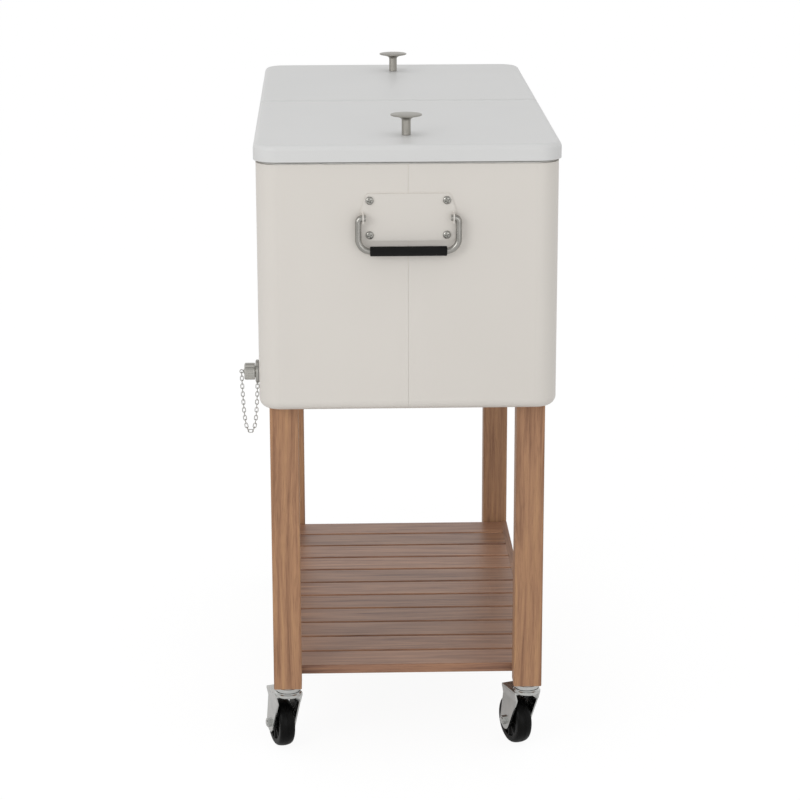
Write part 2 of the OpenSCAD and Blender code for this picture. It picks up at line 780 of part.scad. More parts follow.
module drain_washers() {
    inner = tub_half_wid - tub_t;
    color(rubber) translate([drain_x, 0, drain_z]) {
        difference() {
            bar_y(spigot_head_r - 1.5, inner - washer_t, inner);
            bar_y(spigot_r + hole_fit, inner - 4, inner + 4);
        }
        difference() {
            bar_y(flange_r - 1.5, half_wid, half_wid + washer_t);
            bar_y(spigot_r + hole_fit, half_wid - 1, half_wid + 4);
        }
    }
}

// Cast opener: a lip that catches the cap's rim and a tooth below it
module bottle_opener() {
    out = hook_out;
    color(dark_steel) difference() {
        union() {
            translate([0, -half_wid, 0]) rotate([90, 0, 0]) linear_extrude(opener_t)
                intersection() {
                    translate([-opener_w / 2, opener_z - opener_h / 2]) square([opener_w, opener_h]);
                    union() {
                        translate([0, opener_z + opener_h / 2 - opener_w / 2]) circle(opener_w / 2);
                        translate([0, opener_z - opener_h / 2 + opener_w / 2]) circle(opener_w / 2);
                        translate([-opener_w / 2, opener_z - opener_h / 2 + opener_w / 2])
                            square([opener_w, opener_h - opener_w]);
                    }
                }
            translate([-hook_w / 2, -half_wid, opener_z]) rotate([90, 0, 90]) linear_extrude(hook_w)
                polygon([[-2, 15], [-12, 15], [-22, 12], [-out, 5], [-out, -7], [-out + 3, -9],
                         [-out + 5, -3], [-15, 3], [-2, 3]]);
            translate([-hook_w / 4, -half_wid, opener_z]) rotate([90, 0, 90]) linear_extrude(hook_w / 2)
                polygon([[-2, -8], [-8.5, -10], [-9.5, -13], [-8, -15], [-2, -17]]);
        }
        each_opener_screw() bar_x(screw_r + hole_fit, -1, opener_t + 1);
    }
}

// Fixed part of a caster: stem in the leg, upper race cup and swivel pin
module caster_stem() {
    rotate_extrude() polygon([
        [0, cup_low], [race_r - 2.4, cup_low], [race_r - 2.4, cup_low + 1.8], [race_r, cup_low + 2.4],
        [race_r, leg_low - 1.8], [race_r - 1, leg_low - 1.2], [race_r - 1, leg_low], [0, leg_low]]);
    translate([0, 0, leg_low]) cylinder(r = stem_r, h = stem_len);
    translate([0, 0, crown_low - 0.5]) cylinder(r = king_r, h = cup_low - crown_low + 0.5);
    translate([0, 0, crown_low - 0.5 - king_head_t]) cylinder(r = king_head_r, h = king_head_t);
}

module caster_stems() {
    color(steel) for (x = [-leg_x, leg_x], y = [-leg_y, leg_y]) translate([x, y, 0]) caster_stem();
}

// Drawn lid: flat top, round edge, skirt, and slots at the seam for the hinge ears
module lid_skin(s) {
    color(lid_paint) at_end(s) difference() {
        union() {
            rim_sweep(seam_half, lid_half_len, lid_wid, seam_corner_r, lid_corner_r) {
                translate([-lid_t, lid_low]) square([lid_t, lid_high - lid_edge_r]);
                translate([-lid_edge_r, lid_top - lid_edge_r]) quarter_ring_2d(lid_edge_r, lid_t);
                translate([-lid_edge_r - 2, lid_top - lid_t]) square([2, lid_t]);
            }
            slab(seam_half + lid_edge_r + 1, lid_half_len - lid_edge_r - 1, lid_wid - 2 * lid_edge_r - 2,
                 seam_corner_r - lid_edge_r - 1, lid_corner_r - lid_edge_r - 1, lid_top - lid_t, lid_top);
        }
        for (y = ear_places) translate([0, y - slot_half, lid_low - 1])
            cube([seam_half + lid_t + 2, 2 * slot_half, hinge_z - lid_low + 0.7]);
        translate([knob_x, 0, lid_top - lid_t - 1]) cylinder(r = screw_r + hole_fit, h = lid_t + 2);
    }
}

// Stamped tray under the lid: rim under the foam, plug that reaches into the tub
module lid_panel(s) {
    inset = lid_t + 0.3;
    plug_out = tub_half_len - tub_t - plug_clear;
    plug_wid = 2 * (tub_half_wid - tub_t - plug_clear);
    color(steel) at_end(s) union() {
        difference() {
            slab(tray_in, lid_half_len - inset, lid_wid - 2 * inset, 4, lid_corner_r - inset,
                 lid_low, lid_low + tub_t);
            slab(plug_in + tub_t, plug_out - tub_t, plug_wid - 2 * tub_t, 8, 12, lid_low - 1, lid_low + 3);
        }
        difference() {
            slab(plug_in, plug_out, plug_wid, 9.2, 13.2, lid_low - plug_deep, lid_low + tub_t);
            slab(plug_in + tub_t, plug_out - tub_t, plug_wid - 2 * tub_t, 8, 12,
                 lid_low - plug_deep + tub_t, lid_low + 3);
        }
    }
}

module lid_foam(s) {
    low = lid_low + tub_t + foam_gap;
    inset = lid_edge_r + 1.5;
    plug_out = tub_half_len - tub_t - plug_clear - tub_t - foam_gap;
    plug_wid = 2 * (tub_half_wid - tub_t - plug_clear - tub_t - foam_gap);
    color(foam) at_end(s) difference() {
        union() {
            slab(tray_in + 1, lid_half_len - inset, lid_wid - 2 * inset, 4, lid_corner_r - inset,
                 low, lid_top - lid_t - foam_gap);
            slab(plug_in + tub_t + foam_gap, plug_out, plug_wid, 8, 11,
                 lid_low - plug_deep + tub_t + foam_gap, low);
        }
        translate([0, -lid_wid / 2, leaf_top - beam_t - foam_gap])
            cube([leaf_out + foam_gap, lid_wid, beam_t + 1]);
        translate([knob_x, 0, leaf_top - head_h - 2]) cylinder(r = head_r + 1, h = head_h + 3);
    }
}

module lid_seal(s) {
    out_x = half_len - flange_inset - 0.5;
    out_w = 2 * (half_wid - flange_inset - 0.5);
    color(rubber) at_end(s) difference() {
        slab(tray_in + 0.5, out_x, out_w, 6, corner_r - 3.5, rim_top + seal_clear, lid_low);
        slab(tray_in + 0.5 + seal_w, out_x - seal_w, out_w - 2 * seal_w, 4, corner_r - 3.5 - seal_w,
             rim_top - 1, lid_low + 1);
    }
}

// Leaf that is riveted under the lid, with a knuckle beside each ear
module lid_hinge(s) {
    reach = ear_far - ear_t / 2 - ear_gap;
    color(steel) at_end(s) difference() {
        union() {
            translate([tray_in - 2, -reach, leaf_top - beam_t])
                cube([leaf_out - tray_in + 2, 2 * reach, beam_t]);
            for (m = [0, 1], y = [ear_near, ear_far]) mirror([0, m, 0]) {
                end_y = y - ear_t / 2 - ear_gap;
                translate([hinge_x, 0, hinge_z]) bar_y(knuckle_r, end_y - knuckle_len, end_y);
                translate([hinge_x, end_y - knuckle_len, leaf_top - beam_t])
                    cube([tray_in - hinge_x, knuckle_len, beam_t]);
            }
        }
        translate([hinge_x, 0, hinge_z]) bar_y(pin_r + pin_fit, -ear_far, ear_far);
    }
}

// Turned knob: thin disc on a short cone and a straight stem, tapped from below
module knob(s) {
    disc_low = knob_high - knob_disc_t;
    color(steel) at_end(s) translate([knob_x, 0, knob_base]) difference() {
        rotate_extrude() polygon([
            [0, 0], [knob_stem_r, 0], [knob_stem_r, disc_low - knob_cone],
            [knob_stem_r + 1, disc_low - knob_cone * 0.45], [knob_stem_r + 3.5, disc_low],
            [knob_r - 1.5, disc_low + 0.5], [knob_r - 0.4, disc_low + 0.9], [knob_r, disc_low + 1.5],
            [knob_r, disc_low + 2.1], [knob_r - 0.5, disc_low + 2.7], [knob_r * 0.9, disc_low + 3.2],
            [knob_r * 0.6, knob_high - 0.4], [knob_r * 0.3, knob_high - 0.1], [0, knob_high]]);
        translate([0, 0, -1]) cylinder(r = screw_r + hole_fit, h = knob_high * 0.45 + 1);
    }
}

module knob_screw(s) {
    color(steel) at_end(s) translate([knob_x, 0, 0]) {
        translate([0, 0, leaf_top - head_h]) cylinder(r = head_r, h = head_h);
        translate([0, 0, leaf_top - 0.5]) cylinder(r = screw_r, h = lid_t + knob_high * 0.4);
    }
}

module left_lid_skin() { lid_skin(-1); }
module left_lid_foam() { lid_foam(-1); }
module left_lid_panel() { lid_panel(-1); }
module left_lid_seal() { lid_seal(-1); }
module left_lid_hinge() { lid_hinge(-1); }
module left_knob() { knob(-1); }
module left_knob_screw() { knob_screw(-1); }
module right_lid_skin() { lid_skin(1); }
module right_lid_foam() { lid_foam(1); }
module right_lid_panel() { lid_panel(1); }
module right_lid_seal() { lid_seal(1); }
module right_lid_hinge() { lid_hinge(1); }
module right_knob() { knob(1); }
module right_knob_screw() { knob_screw(1); }

// Quarter bend of a rod in the plane across the cooler, from angle a
module rod_bend(bend, a) {
    rotate([90, 0, 90]) rotate([0, 0, a]) rotate_extrude(angle = 90) translate([bend, 0]) circle(rod_r);
}

// Bent rod that hangs from its two ears
module bail(s) {
    side_y = arm_y - low_bend;
    color(steel) at_end(s) translate([pivot_x, 0, 0]) {
        for (m = [0, 1]) mirror([0, m, 0]) {
            translate([0, 0, pivot_z]) bar_y(rod_r, ear_in_y - 3, arm_y - top_bend);
            translate([0, arm_y - top_bend, pivot_z - top_bend]) rod_bend(top_bend, 0);
            translate([0, arm_y, grip_z + low_bend])
                cylinder(r = rod_r, h = bail_drop - top_bend - low_bend);
            translate([0, side_y, grip_z + low_bend]) rod_bend(low_bend, -90);
        }
        translate([0, 0, grip_z]) bar_y(rod_r, -side_y, side_y);
    }
}

module grip(s) {
    lip = 1.2;
    color(black) at_end(s) translate([pivot_x, 0, grip_z]) difference() {
        union() {
            bar_y(grip_r, -grip_len / 2 + lip, grip_len / 2 - lip);
            for (m = [0, 1]) mirror([0, m, 0]) translate([0, grip_len / 2 - lip, 0])
                rotate([-90, 0, 0]) cylinder(r1 = grip_r, r2 = grip_r - lip, h = lip);
        }
        bar_y(rod_r + hole_fit, -grip_len, grip_len);
        for (m = [0, 1]) mirror([0, m, 0]) translate([0, arm_y - low_bend, low_bend])
            rotate([90, 0, 90]) rotate([0, 0, -90]) rotate_extrude(angle = 30)
                translate([low_bend, 0]) circle(rod_r + hole_fit);
    }
}

module left_bail() { bail(-1); }
module left_grip() { grip(-1); }
module right_bail() { bail(1); }
module right_grip() { grip(1); }

// Swivel eye riveted through the end of the cap
module cap_eye() {
    inner = cap_stop - cap_end;
    color(steel) translate([drain_x, 0, drain_z]) difference() {
        union() {
            bar_y(4, inner - 1, inner - 0.2);
            bar_y(eye_shaft_r, inner - 0.5, eye_y - eye_tab_r + eye_root);
            bar_y(3.8, cap_stop + 0.2, cap_stop + 0.2 + eye_collar_t);
            translate([0, eye_y, 0]) bar_x(eye_tab_r, -eye_tab_t / 2, eye_tab_t / 2);
        }
        translate([0, eye_y, 0]) bar_x(eye_hole_r, -3, 3);
    }
}

module drain_cap() {
    inner = cap_stop - cap_end;
    groove_r = 0.8;
    color(steel) translate([drain_x, 0, drain_z]) difference() {
        union() {
            bar_y(cap_r, cap_y, cap_stop - 1.6);
            translate([0, cap_stop - 1.6, 0]) rotate([-90, 0, 0])
                cylinder(r1 = cap_r, r2 = cap_r - 1.6, h = 1.6);
        }
        bar_y(spigot_r + cap_fit, cap_y - 1, inner);
        bar_y(eye_shaft_r + cap_fit / 2, inner - 1, cap_stop + 1);
        for (i = [0 : cap_grooves - 1]) rotate([0, i * 360 / cap_grooves, 0])
            translate([0, 0, cap_r + groove_r / 2]) bar_y(groove_r, cap_y + 2, cap_stop - 2.6);
    }
}

// One wire link, its long way along Z and its loop in the XZ plane
module link() {
    mid_r = (link_wid - wire) / 2;
    straight = (link_len - link_wid) / 2;
    for (s = [-1, 1]) {
        translate([s * mid_r, 0, -straight]) cylinder(r = wire / 2, h = 2 * straight);
        translate([0, 0, s * straight]) rotate([90, 0, 0]) rotate([0, 0, s > 0 ? 0 : 180])
            rotate_extrude(angle = 180) translate([mid_r, 0]) circle(wire / 2);
    }
}

// Link number k up from the lowest one, on the side s: cap (1) or flange (-1)
module hung_link(s, k) {
    y = low_y + s * (chain_pitch / 2 + run(k, steep) - chain_pitch * cos(slope(k)) / 2);
    z = low_z + rise(k, steep) - chain_pitch * sin(slope(k)) / 2;
    turned = (cap_links - s * k) % 2 == 0;
    translate([drain_x, y, z]) rotate([-s * (90 - slope(k)), 0, 0]) rotate([0, 0, turned ? 0 : 90]) link();
}

module chain_cap_side() {
    color(steel) for (k = [2 : cap_links]) hung_link(1, k);
}

// The lowest link and the one after it belong to the strand that hangs from the flange
module chain_flange_side() {
    color(steel) {
        for (k = [1 : flange_links]) hung_link(-1, k);
        translate([drain_x, low_y, low_z]) rotate([90, 0, 0])
            rotate([0, 0, cap_links % 2 == 0 ? 0 : 90]) link();
        hung_link(1, 1);
    }
}

// Places a caster piece under its leg, with local +X in the direction of trail
module at_caster(sx, sy) {
    translate([sx * leg_x, sy * leg_y, 0]) rotate([0, 0, sy < 0 ? front_turn : back_turn]) children();
}

// Where a line from point p meets a circle as a tangent, on its left (-1) or right (1) side
function tangent_point(p, middle, r, side) =
    let(away = p - middle, turn = atan2(away[1], away[0]) + side * acos(r / norm(away)))
    middle + r * [cos(turn), sin(turn)];

// Outline of a fork arm from the side: broad under the crown, with straight edges to a round end
module arm_side_2d() {
    axle_at = [trail, wheel_r];
    back_at = [arm_back, crown_top - back_drop];
    front_at = [arm_front, crown_top - front_drop];
    touch_r = arm_end_r - 0.05;
    translate(axle_at) circle(arm_end_r);
    polygon([[arm_front, crown_top], [arm_back, crown_top], back_at,
             tangent_point(back_at, axle_at, touch_r, -1), axle_at,
             tangent_point(front_at, axle_at, touch_r, 1), front_at]);
}

// Pressed fork: sheet bent over the wheel, with the lower race on its crown
module fork(sx, sy) {
    neck_z = crown_low - front_drop;
    fork_low = wheel_r - arm_end_r - 1;
    color(steel) at_caster(sx, sy) difference() {
        union() {
            intersection() {
                translate([arm_front - 1, 0, 0]) rotate([90, 0, 90])
                    linear_extrude(trail + 2 * arm_end_r - arm_front) polygon([
                    [-crown_half, crown_top], [-crown_half, crown_low - crown_rib],
                    [-fork_half, neck_z], [-fork_half, fork_low], [-fork_in, fork_low],
                    [-fork_in, neck_z], [-crown_half + fork_t, crown_low - crown_rib],
                    [crown_half - fork_t, crown_low - crown_rib], [fork_in, neck_z],
                    [fork_in, fork_low], [fork_half, fork_low], [fork_half, neck_z],
                    [crown_half, crown_low - crown_rib], [crown_half, crown_top]]);
                translate([0, crown_half + 1, 0]) rotate([90, 0, 0])
                    linear_extrude(2 * crown_half + 2) arm_side_2d();
            }
            translate([0, 0, crown_low - crown_rib])
                cylinder(r = crown_disc_r, h = crown_rib + fork_t);
            lower_race();
        }
        cylinder(r = king_r + spin_fit, h = race_top + 1);
        translate([0, 0, crown_low - 8]) cylinder(r = king_head_r + 1, h = 8);
        translate([trail, 0, wheel_r]) bar_y(axle_r + spin_fit, -crown_half, crown_half);
    }
}

// Lower race: a bright pressed ring with a step that runs under the upper race
module lower_race() {
    step = 1.4;
    rotate_extrude() polygon([
        [0, crown_low], [race_r - 1, crown_low], [race_r, crown_low + 1],
        [race_r, race_top - 2 * step], [race_r - step, race_top - step],
        [race_r - step, race_top], [0, race_top]]);
}

// Black wheel: rounded tread, dished sides and a hub
module wheel(sx, sy) {
    rim_r = wheel_r - 7;
    half = wheel_w / 2;
    color(black) at_caster(sx, sy) translate([trail, 0, wheel_r]) rotate([90, 0, 0])
        rotate_extrude() polygon(concat(
            [[axle_r + spin_fit, -hub_w / 2], [10, -hub_w / 2], [10.5, -half + 3], [rim_r - 5, -half + 3],
             [rim_r - 4, -half + 0.4], [rim_r, -half]],
            [for (a = [-80 : 20 : 80]) [rim_r + 7 * pow(cos(a), 0.6), half * sin(a)]],
            [[rim_r, half], [rim_r - 4, half - 0.4], [rim_r - 5, half - 3], [10.5, half - 3],
             [10, hub_w / 2], [axle_r + spin_fit, hub_w / 2]]));
}

// Axle bolt with its hexagon head and nut
module axle(sx, sy) {
    reach = fork_half + 5.5;
    color(steel) at_caster(sx, sy) translate([trail, 0, wheel_r]) {
        bar_y(axle_r, -fork_half - 1, reach);
        translate([0, -fork_half - 0.1, 0]) rotate([90, 0, 0]) cylinder(r = axle_r * 1.75, h = 4, $fn = 6);
        translate([0, fork_half + 0.1, 0]) rotate([-90, 0, 0]) cylinder(r = axle_r * 1.75, h = 4.5, $fn = 6);
    }
}

module front_left_fork() { fork(-1, -1); }
module front_left_wheel() { wheel(-1, -1); }
module front_left_axle() { axle(-1, -1); }
module back_left_fork() { fork(-1, 1); }
module back_left_wheel() { wheel(-1, 1); }
module back_left_axle() { axle(-1, 1); }
module front_right_fork() { fork(1, -1); }
module front_right_wheel() { wheel(1, -1); }
module front_right_axle() { axle(1, -1); }
module back_right_fork() { fork(1, 1); }
module back_right_wheel() { wheel(1, 1); }
module back_right_axle() { axle(1, 1); }

front_shell();
back_shell();
base_pan();
tub();
insulation();
hinge_beam();
hinge_pins();
legs();
leg_studs();
nut_plates();
shelf_rails();
shelf_slats();
slat_screws();
rail_dowels();
left_handle_plate();
right_handle_plate();
panel_screws();
drain_spigot();
drain_flange();
drain_washers();
bottle_opener();
caster_stems();
left_lid_skin();
left_lid_foam();
left_lid_panel();
left_lid_seal();
left_lid_hinge();
left_knob();
left_knob_screw();
right_lid_skin();
right_lid_foam();
right_lid_panel();
right_lid_seal();
right_lid_hinge();
right_knob();
right_knob_screw();
left_bail();
left_grip();
right_bail();
right_grip();
cap_eye();
drain_cap();
chain_cap_side();
chain_flange_side();
front_left_fork();
front_left_wheel();
front_left_axle();
back_left_fork();
back_left_wheel();
back_left_axle();
front_right_fork();
front_right_wheel();
front_right_axle();
back_right_fork();
back_right_wheel();
back_right_axle();
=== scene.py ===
"""Patio cooler: painted insulated cabinet with split lids on a slatted wooden stand with casters."""

import logging
import math
from dataclasses import dataclass
from enum import Enum

import bmesh
import bpy
import numpy as np
from mathutils import Matrix, Vector


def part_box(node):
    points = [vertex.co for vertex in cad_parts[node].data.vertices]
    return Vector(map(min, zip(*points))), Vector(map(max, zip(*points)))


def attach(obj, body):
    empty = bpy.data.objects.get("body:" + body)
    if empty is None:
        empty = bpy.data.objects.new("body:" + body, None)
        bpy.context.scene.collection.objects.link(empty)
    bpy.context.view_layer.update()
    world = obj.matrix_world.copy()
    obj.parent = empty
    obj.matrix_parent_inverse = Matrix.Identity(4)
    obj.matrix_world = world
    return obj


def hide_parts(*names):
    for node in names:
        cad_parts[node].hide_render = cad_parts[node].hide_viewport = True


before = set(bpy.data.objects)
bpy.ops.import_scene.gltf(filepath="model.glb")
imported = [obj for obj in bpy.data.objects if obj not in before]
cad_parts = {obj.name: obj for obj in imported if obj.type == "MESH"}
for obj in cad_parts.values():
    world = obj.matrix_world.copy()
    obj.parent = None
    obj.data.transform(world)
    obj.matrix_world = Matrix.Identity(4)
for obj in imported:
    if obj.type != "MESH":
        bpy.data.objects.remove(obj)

LOG = logging.getLogger("patio_cooler")
MM = 0.001
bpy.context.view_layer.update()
BUILT: dict[str, bpy.types.Material] = {}
CREASE = math.radians(40)
WHITE = (1, 1, 1, 1)


class Grain(Enum):
    """The way that the fibres of a board run."""

    LENGTHWISE = (1, 0, 0)
    CROSSWISE = (0, 1, 0)
    UPRIGHT = (0, 0, 1)


class Lay(Enum):
    """How a metal surface was worked, as the stretch of its fine scratches along X, Y and Z."""

    ALONG_X = (0.02, 1.0, 1.0)
    ALONG_Y = (1.0, 0.02, 1.0)
    ALONG_Z = (1.0, 1.0, 0.02)
    TUMBLED = (1.0, 1.0, 1.0)


def linear(code: str) -> tuple[float, float, float, float]:
    """Turns an sRGB hex code into a linear colour.

    Args:
        code: Six hex digits with a leading hash.

    Returns:
        Red, green, blue and an alpha of one.
    """
    parts = [int(code[i : i + 2], 16) / 255 for i in (1, 3, 5)]
    low = [c / 12.92 if c <= 0.04045 else ((c + 0.055) / 1.055) ** 2.4 for c in parts]
    return (low[0], low[1], low[2], 1.0)


def add_node(
    tree: bpy.types.NodeTree, kind: str, settings: dict | None = None, links: dict | None = None
) -> bpy.types.Node:
    """Adds one shader node.

    Args:
        tree: The node tree that gets it.
        kind: The node's type.
        settings: Values by input name, input number or property name.
        links: Output sockets by the name or number of the input that they feed.

    Returns:
        The new node.
    """
    made = tree.nodes.new(kind)
    for key, value in (settings or {}).items():
        if isinstance(key, int) or key in made.inputs:
            made.inputs[key].default_value = value
        else:
            setattr(made, key, value)
    for key, source in (links or {}).items():
        tree.links.new(source, made.inputs[key])
    return made


def start_material(
    name: str, settings: dict
) -> tuple[bpy.types.Material, bpy.types.NodeTree, bpy.types.Node, bpy.types.NodeSocket]:
    """Starts a material with one principled shader.

    Args:
        name: The material's name.
        settings: Values of the shader's own sockets.

    Returns:
        The material, its tree, its shader and the object coordinates in millimetres.
    """
    made = bpy.data.materials.new(name)
    made.use_nodes = True
    tree = made.node_tree
    tree.nodes.clear()
    shader = add_node(tree, "ShaderNodeBsdfPrincipled", settings)
    add_node(tree, "ShaderNodeOutputMaterial", links={"Surface": shader.outputs[0]})
    place = add_node(tree, "ShaderNodeTexCoord").outputs["Object"]
    whole = 1 / MM
    sized = add_node(tree, "ShaderNodeMapping", {"Scale": (whole, whole, whole)}, {"Vector": place})
    return made, tree, shader, sized.outputs[0]


@dataclass(frozen=True)
class Finish:
    """A finish that builds its material once and hands it out again."""

    name: str

    def build(self) -> bpy.types.Material:
        """Builds the material."""
        raise NotImplementedError

    def material(self) -> bpy.types.Material:
        """Gives the material, built at the first call."""
        if self.name not in BUILT:
            BUILT[self.name] = self.build()
        return BUILT[self.name]

    def dress(self, *nodes: str) -> None:
        """Gives CAD nodes this finish.

        Args:
            nodes: Names of the nodes.
        """
        for name in nodes:
            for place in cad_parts[name].material_slots:
                place.material = self.material()
            LOG.info("node %s: %s", name, self.name)


@dataclass(frozen=True)
class PowderCoat(Finish):
    """Polyester powder coat on steel sheet: satin, with a faint orange peel and slow shade drift."""

    code: str = "#dbd6cf"
    drift_code: str = "#d5d0c9"
    roughness: float = 0.42
    peel_mm: float = 2.2
    peel_depth_mm: float = 0.06
    drift_mm: float = 210.0

    def build(self) -> bpy.types.Material:
        """Builds the material."""
        made, tree, shader, place = start_material(self.name, {"Roughness": self.roughness, "IOR": 1.5})
        drift = add_node(
            tree, "ShaderNodeTexNoise", {"Scale": 1 / self.drift_mm, "Detail": 2.0}, {"Vector": place}
        )
        shade = add_node(
            tree,
            "ShaderNodeMix",
            {"data_type": "RGBA", 6: linear(self.code), 7: linear(self.drift_code)},
            {0: drift.outputs[0]},
        )
        peel = add_node(
            tree, "ShaderNodeTexNoise", {"Scale": 1 / self.peel_mm, "Detail": 1.0}, {"Vector": place}
        )
        bump = add_node(
            tree,
            "ShaderNodeBump",
            {"Strength": 0.12, "Distance": self.peel_depth_mm * MM},
            {"Height": peel.outputs[0]},
        )
        tree.links.new(shade.outputs[2], shader.inputs["Base Color"])
        tree.links.new(bump.outputs[0], shader.inputs["Normal"])
        return made


@dataclass(frozen=True)
class Timber(Finish):
    """Oiled acacia: long streaks of dark and light fibre, short pores, boards of differing tone, and painted
    shade that can darken the posts on one side.
    """

    light: str = "#c0936a"
    middle: str = "#ab7f5e"
    dark: str = "#875f45"
    grain: Grain = Grain.UPRIGHT
    streak_mm: float = 7.0
    reach_mm: float = 210.0
    wander_mm: float = 22.0
    wander_across_mm: float = 34.0
    wander_along_mm: float = 330.0
    pore_mm: float = 0.9
    pore_reach_mm: float = 26.0
    pore_share: float = 0.45
    relief_mm: float = 0.12
    board_mm: float = 0.0
    post_mm: float = 240.0
    side_step: float = 7.3
    log_mm: float = 900.0
    tone: float = 0.22
    # Painted shade: how much darker the posts on the -Y side are drawn than those on the +Y side, standing in
    # for light that falls from +Y.
    painted_side_shade: float = 0.0
    roughness: float = 0.62

    def stretched(self, across: float, along: float) -> tuple[float, float, float]:
        """Scales a pattern so that it is long with the grain and short across it."""
        return tuple(1 / along if way else 1 / across for way in self.grain.value)

    def build(self) -> bpy.types.Material:
        """Builds the material."""
        made, tree, shader, place = start_material(self.name, {"IOR": 1.47})
        # Each board or post gets a number, and with it a tone and a place of its own in the log.
        spot = add_node(tree, "ShaderNodeSeparateXYZ", links={0: place})
        pitch = self.board_mm or self.post_mm
        number = add_node(
            tree,
            "ShaderNodeMath",
            {"operation": "MULTIPLY_ADD", 1: 1 / pitch, 2: 0.5},
            {0: spot.outputs[0]},
        )
        board = add_node(tree, "ShaderNodeMath", {"operation": "FLOOR"}, {0: number.outputs[0]})
        side = add_node(tree, "ShaderNodeMath", {"operation": "SIGN"}, {0: spot.outputs[1]})
        both = add_node(
            tree,
            "ShaderNodeMath",
            {"operation": "MULTIPLY_ADD", 1: 0.0 if self.board_mm else self.side_step},
            {0: side.outputs[0], 2: board.outputs[0]},
        )
        chance = add_node(
            tree, "ShaderNodeTexWhiteNoise", {"noise_dimensions": "1D"}, {"W": both.outputs[0]}
        )
        jump = add_node(
            tree,
            "ShaderNodeVectorMath",
            {"operation": "SCALE", "Scale": self.log_mm},
            {0: chance.outputs["Color"]},
        )
        moved = add_node(
            tree, "ShaderNodeVectorMath", {"operation": "ADD"}, {0: place, 1: jump.outputs[0]}
        )
        # The fibres wander slowly to the side, as they do round knots.
        wave = add_node(
            tree,
            "ShaderNodeMapping",
            {"Scale": self.stretched(self.wander_across_mm, self.wander_along_mm)},
            {"Vector": moved.outputs[0]},
        )
        bend = add_node(
            tree, "ShaderNodeTexNoise", {"Scale": 1.0, "Detail": 1.0}, {"Vector": wave.outputs[0]}
        )
        curved = add_node(
            tree,
            "ShaderNodeVectorMath",
            {"operation": "MULTIPLY_ADD", 1: (self.wander_mm,) * 3},
            {0: bend.outputs["Color"], 2: moved.outputs[0]},
        )
        # Long streaks give the colour, and short pores darken them.
        fibre = add_node(
            tree,
            "ShaderNodeMapping",
            {"Scale": self.stretched(self.streak_mm, self.reach_mm)},
            {"Vector": curved.outputs[0]},
        )
        streaks = add_node(
            tree,
            "ShaderNodeTexNoise",
            {"Scale": 1.0, "Detail": 5.0, "Roughness": 0.62},
            {"Vector": fibre.outputs[0]},
        )
        fine = add_node(
            tree,
            "ShaderNodeMapping",
            {"Scale": self.stretched(self.pore_mm, self.pore_reach_mm)},
            {"Vector": curved.outputs[0]},
        )
        pores = add_node(
            tree, "ShaderNodeTexNoise", {"Scale": 1.0, "Detail": 2.0}, {"Vector": fine.outputs[0]}
        )
        ramp = add_node(tree, "ShaderNodeValToRGB", links={0: streaks.outputs[0]})
        stops = ramp.color_ramp.elements
        stops[0].position, stops[0].color = 0.3, linear(self.dark)
        stops[1].position, stops[1].color = 0.72, linear(self.light)
        stops.new(0.5).color = linear(self.middle)
        pore_ramp = add_node(tree, "ShaderNodeValToRGB", links={0: pores.outputs[0]})
        pore_stops = pore_ramp.color_ramp.elements
        pore_stops[0].position, pore_stops[0].color = 0.34, (0.62, 0.6, 0.58, 1)
        pore_stops[1].position, pore_stops[1].color = 0.5, (1, 1, 1, 1)
        pored = add_node(
            tree,
            "ShaderNodeMix",
            {"data_type": "RGBA", "blend_type": "MULTIPLY", 0: self.pore_share},
            {6: ramp.outputs[0], 7: pore_ramp.outputs[0]},
        )
        # The board's own tone, and painted shade that darkens the posts on the -Y side, away from the key
        # light.
        tone = add_node(
            tree,
            "ShaderNodeMath",
            {"operation": "MULTIPLY_ADD", 1: self.tone, 2: 1 - self.tone / 2 - self.painted_side_shade / 2},
            {0: chance.outputs["Value"]},
        )
        # Painted shade: the -Y side loses the whole share and is drawn darker, as if turned away from the key
        # light.
        painted_shade_tone = add_node(
            tree,
            "ShaderNodeMath",
            {"operation": "MULTIPLY_ADD", 1: self.painted_side_shade / 2},
            {0: side.outputs[0], 2: tone.outputs[0]},
        )
        toned = add_node(
            tree,
            "ShaderNodeVectorMath",
            {"operation": "SCALE"},
            {0: pored.outputs[2], "Scale": painted_shade_tone.outputs[0]},
        )
        # Light fibre takes more oil and shines more, and the streaks stand up a little.
        matt = add_node(
            tree,
            "ShaderNodeMath",
            {"operation": "MULTIPLY_ADD", 1: -0.2, 2: self.roughness},
            {0: streaks.outputs[0]},
        )
        relief = add_node(
            tree,
            "ShaderNodeMath",
            {"operation": "MULTIPLY_ADD", 1: 0.4},
            {0: streaks.outputs[0], 2: pores.outputs[0]},
        )
        bump = add_node(
            tree,
            "ShaderNodeBump",
            {"Strength": 0.35, "Distance": self.relief_mm * MM},
            {"Height": relief.outputs[0]},
        )
        tree.links.new(toned.outputs[0], shader.inputs["Base Color"])
        tree.links.new(matt.outputs[0], shader.inputs["Roughness"])
        tree.links.new(bump.outputs[0], shader.inputs["Normal"])
        return made


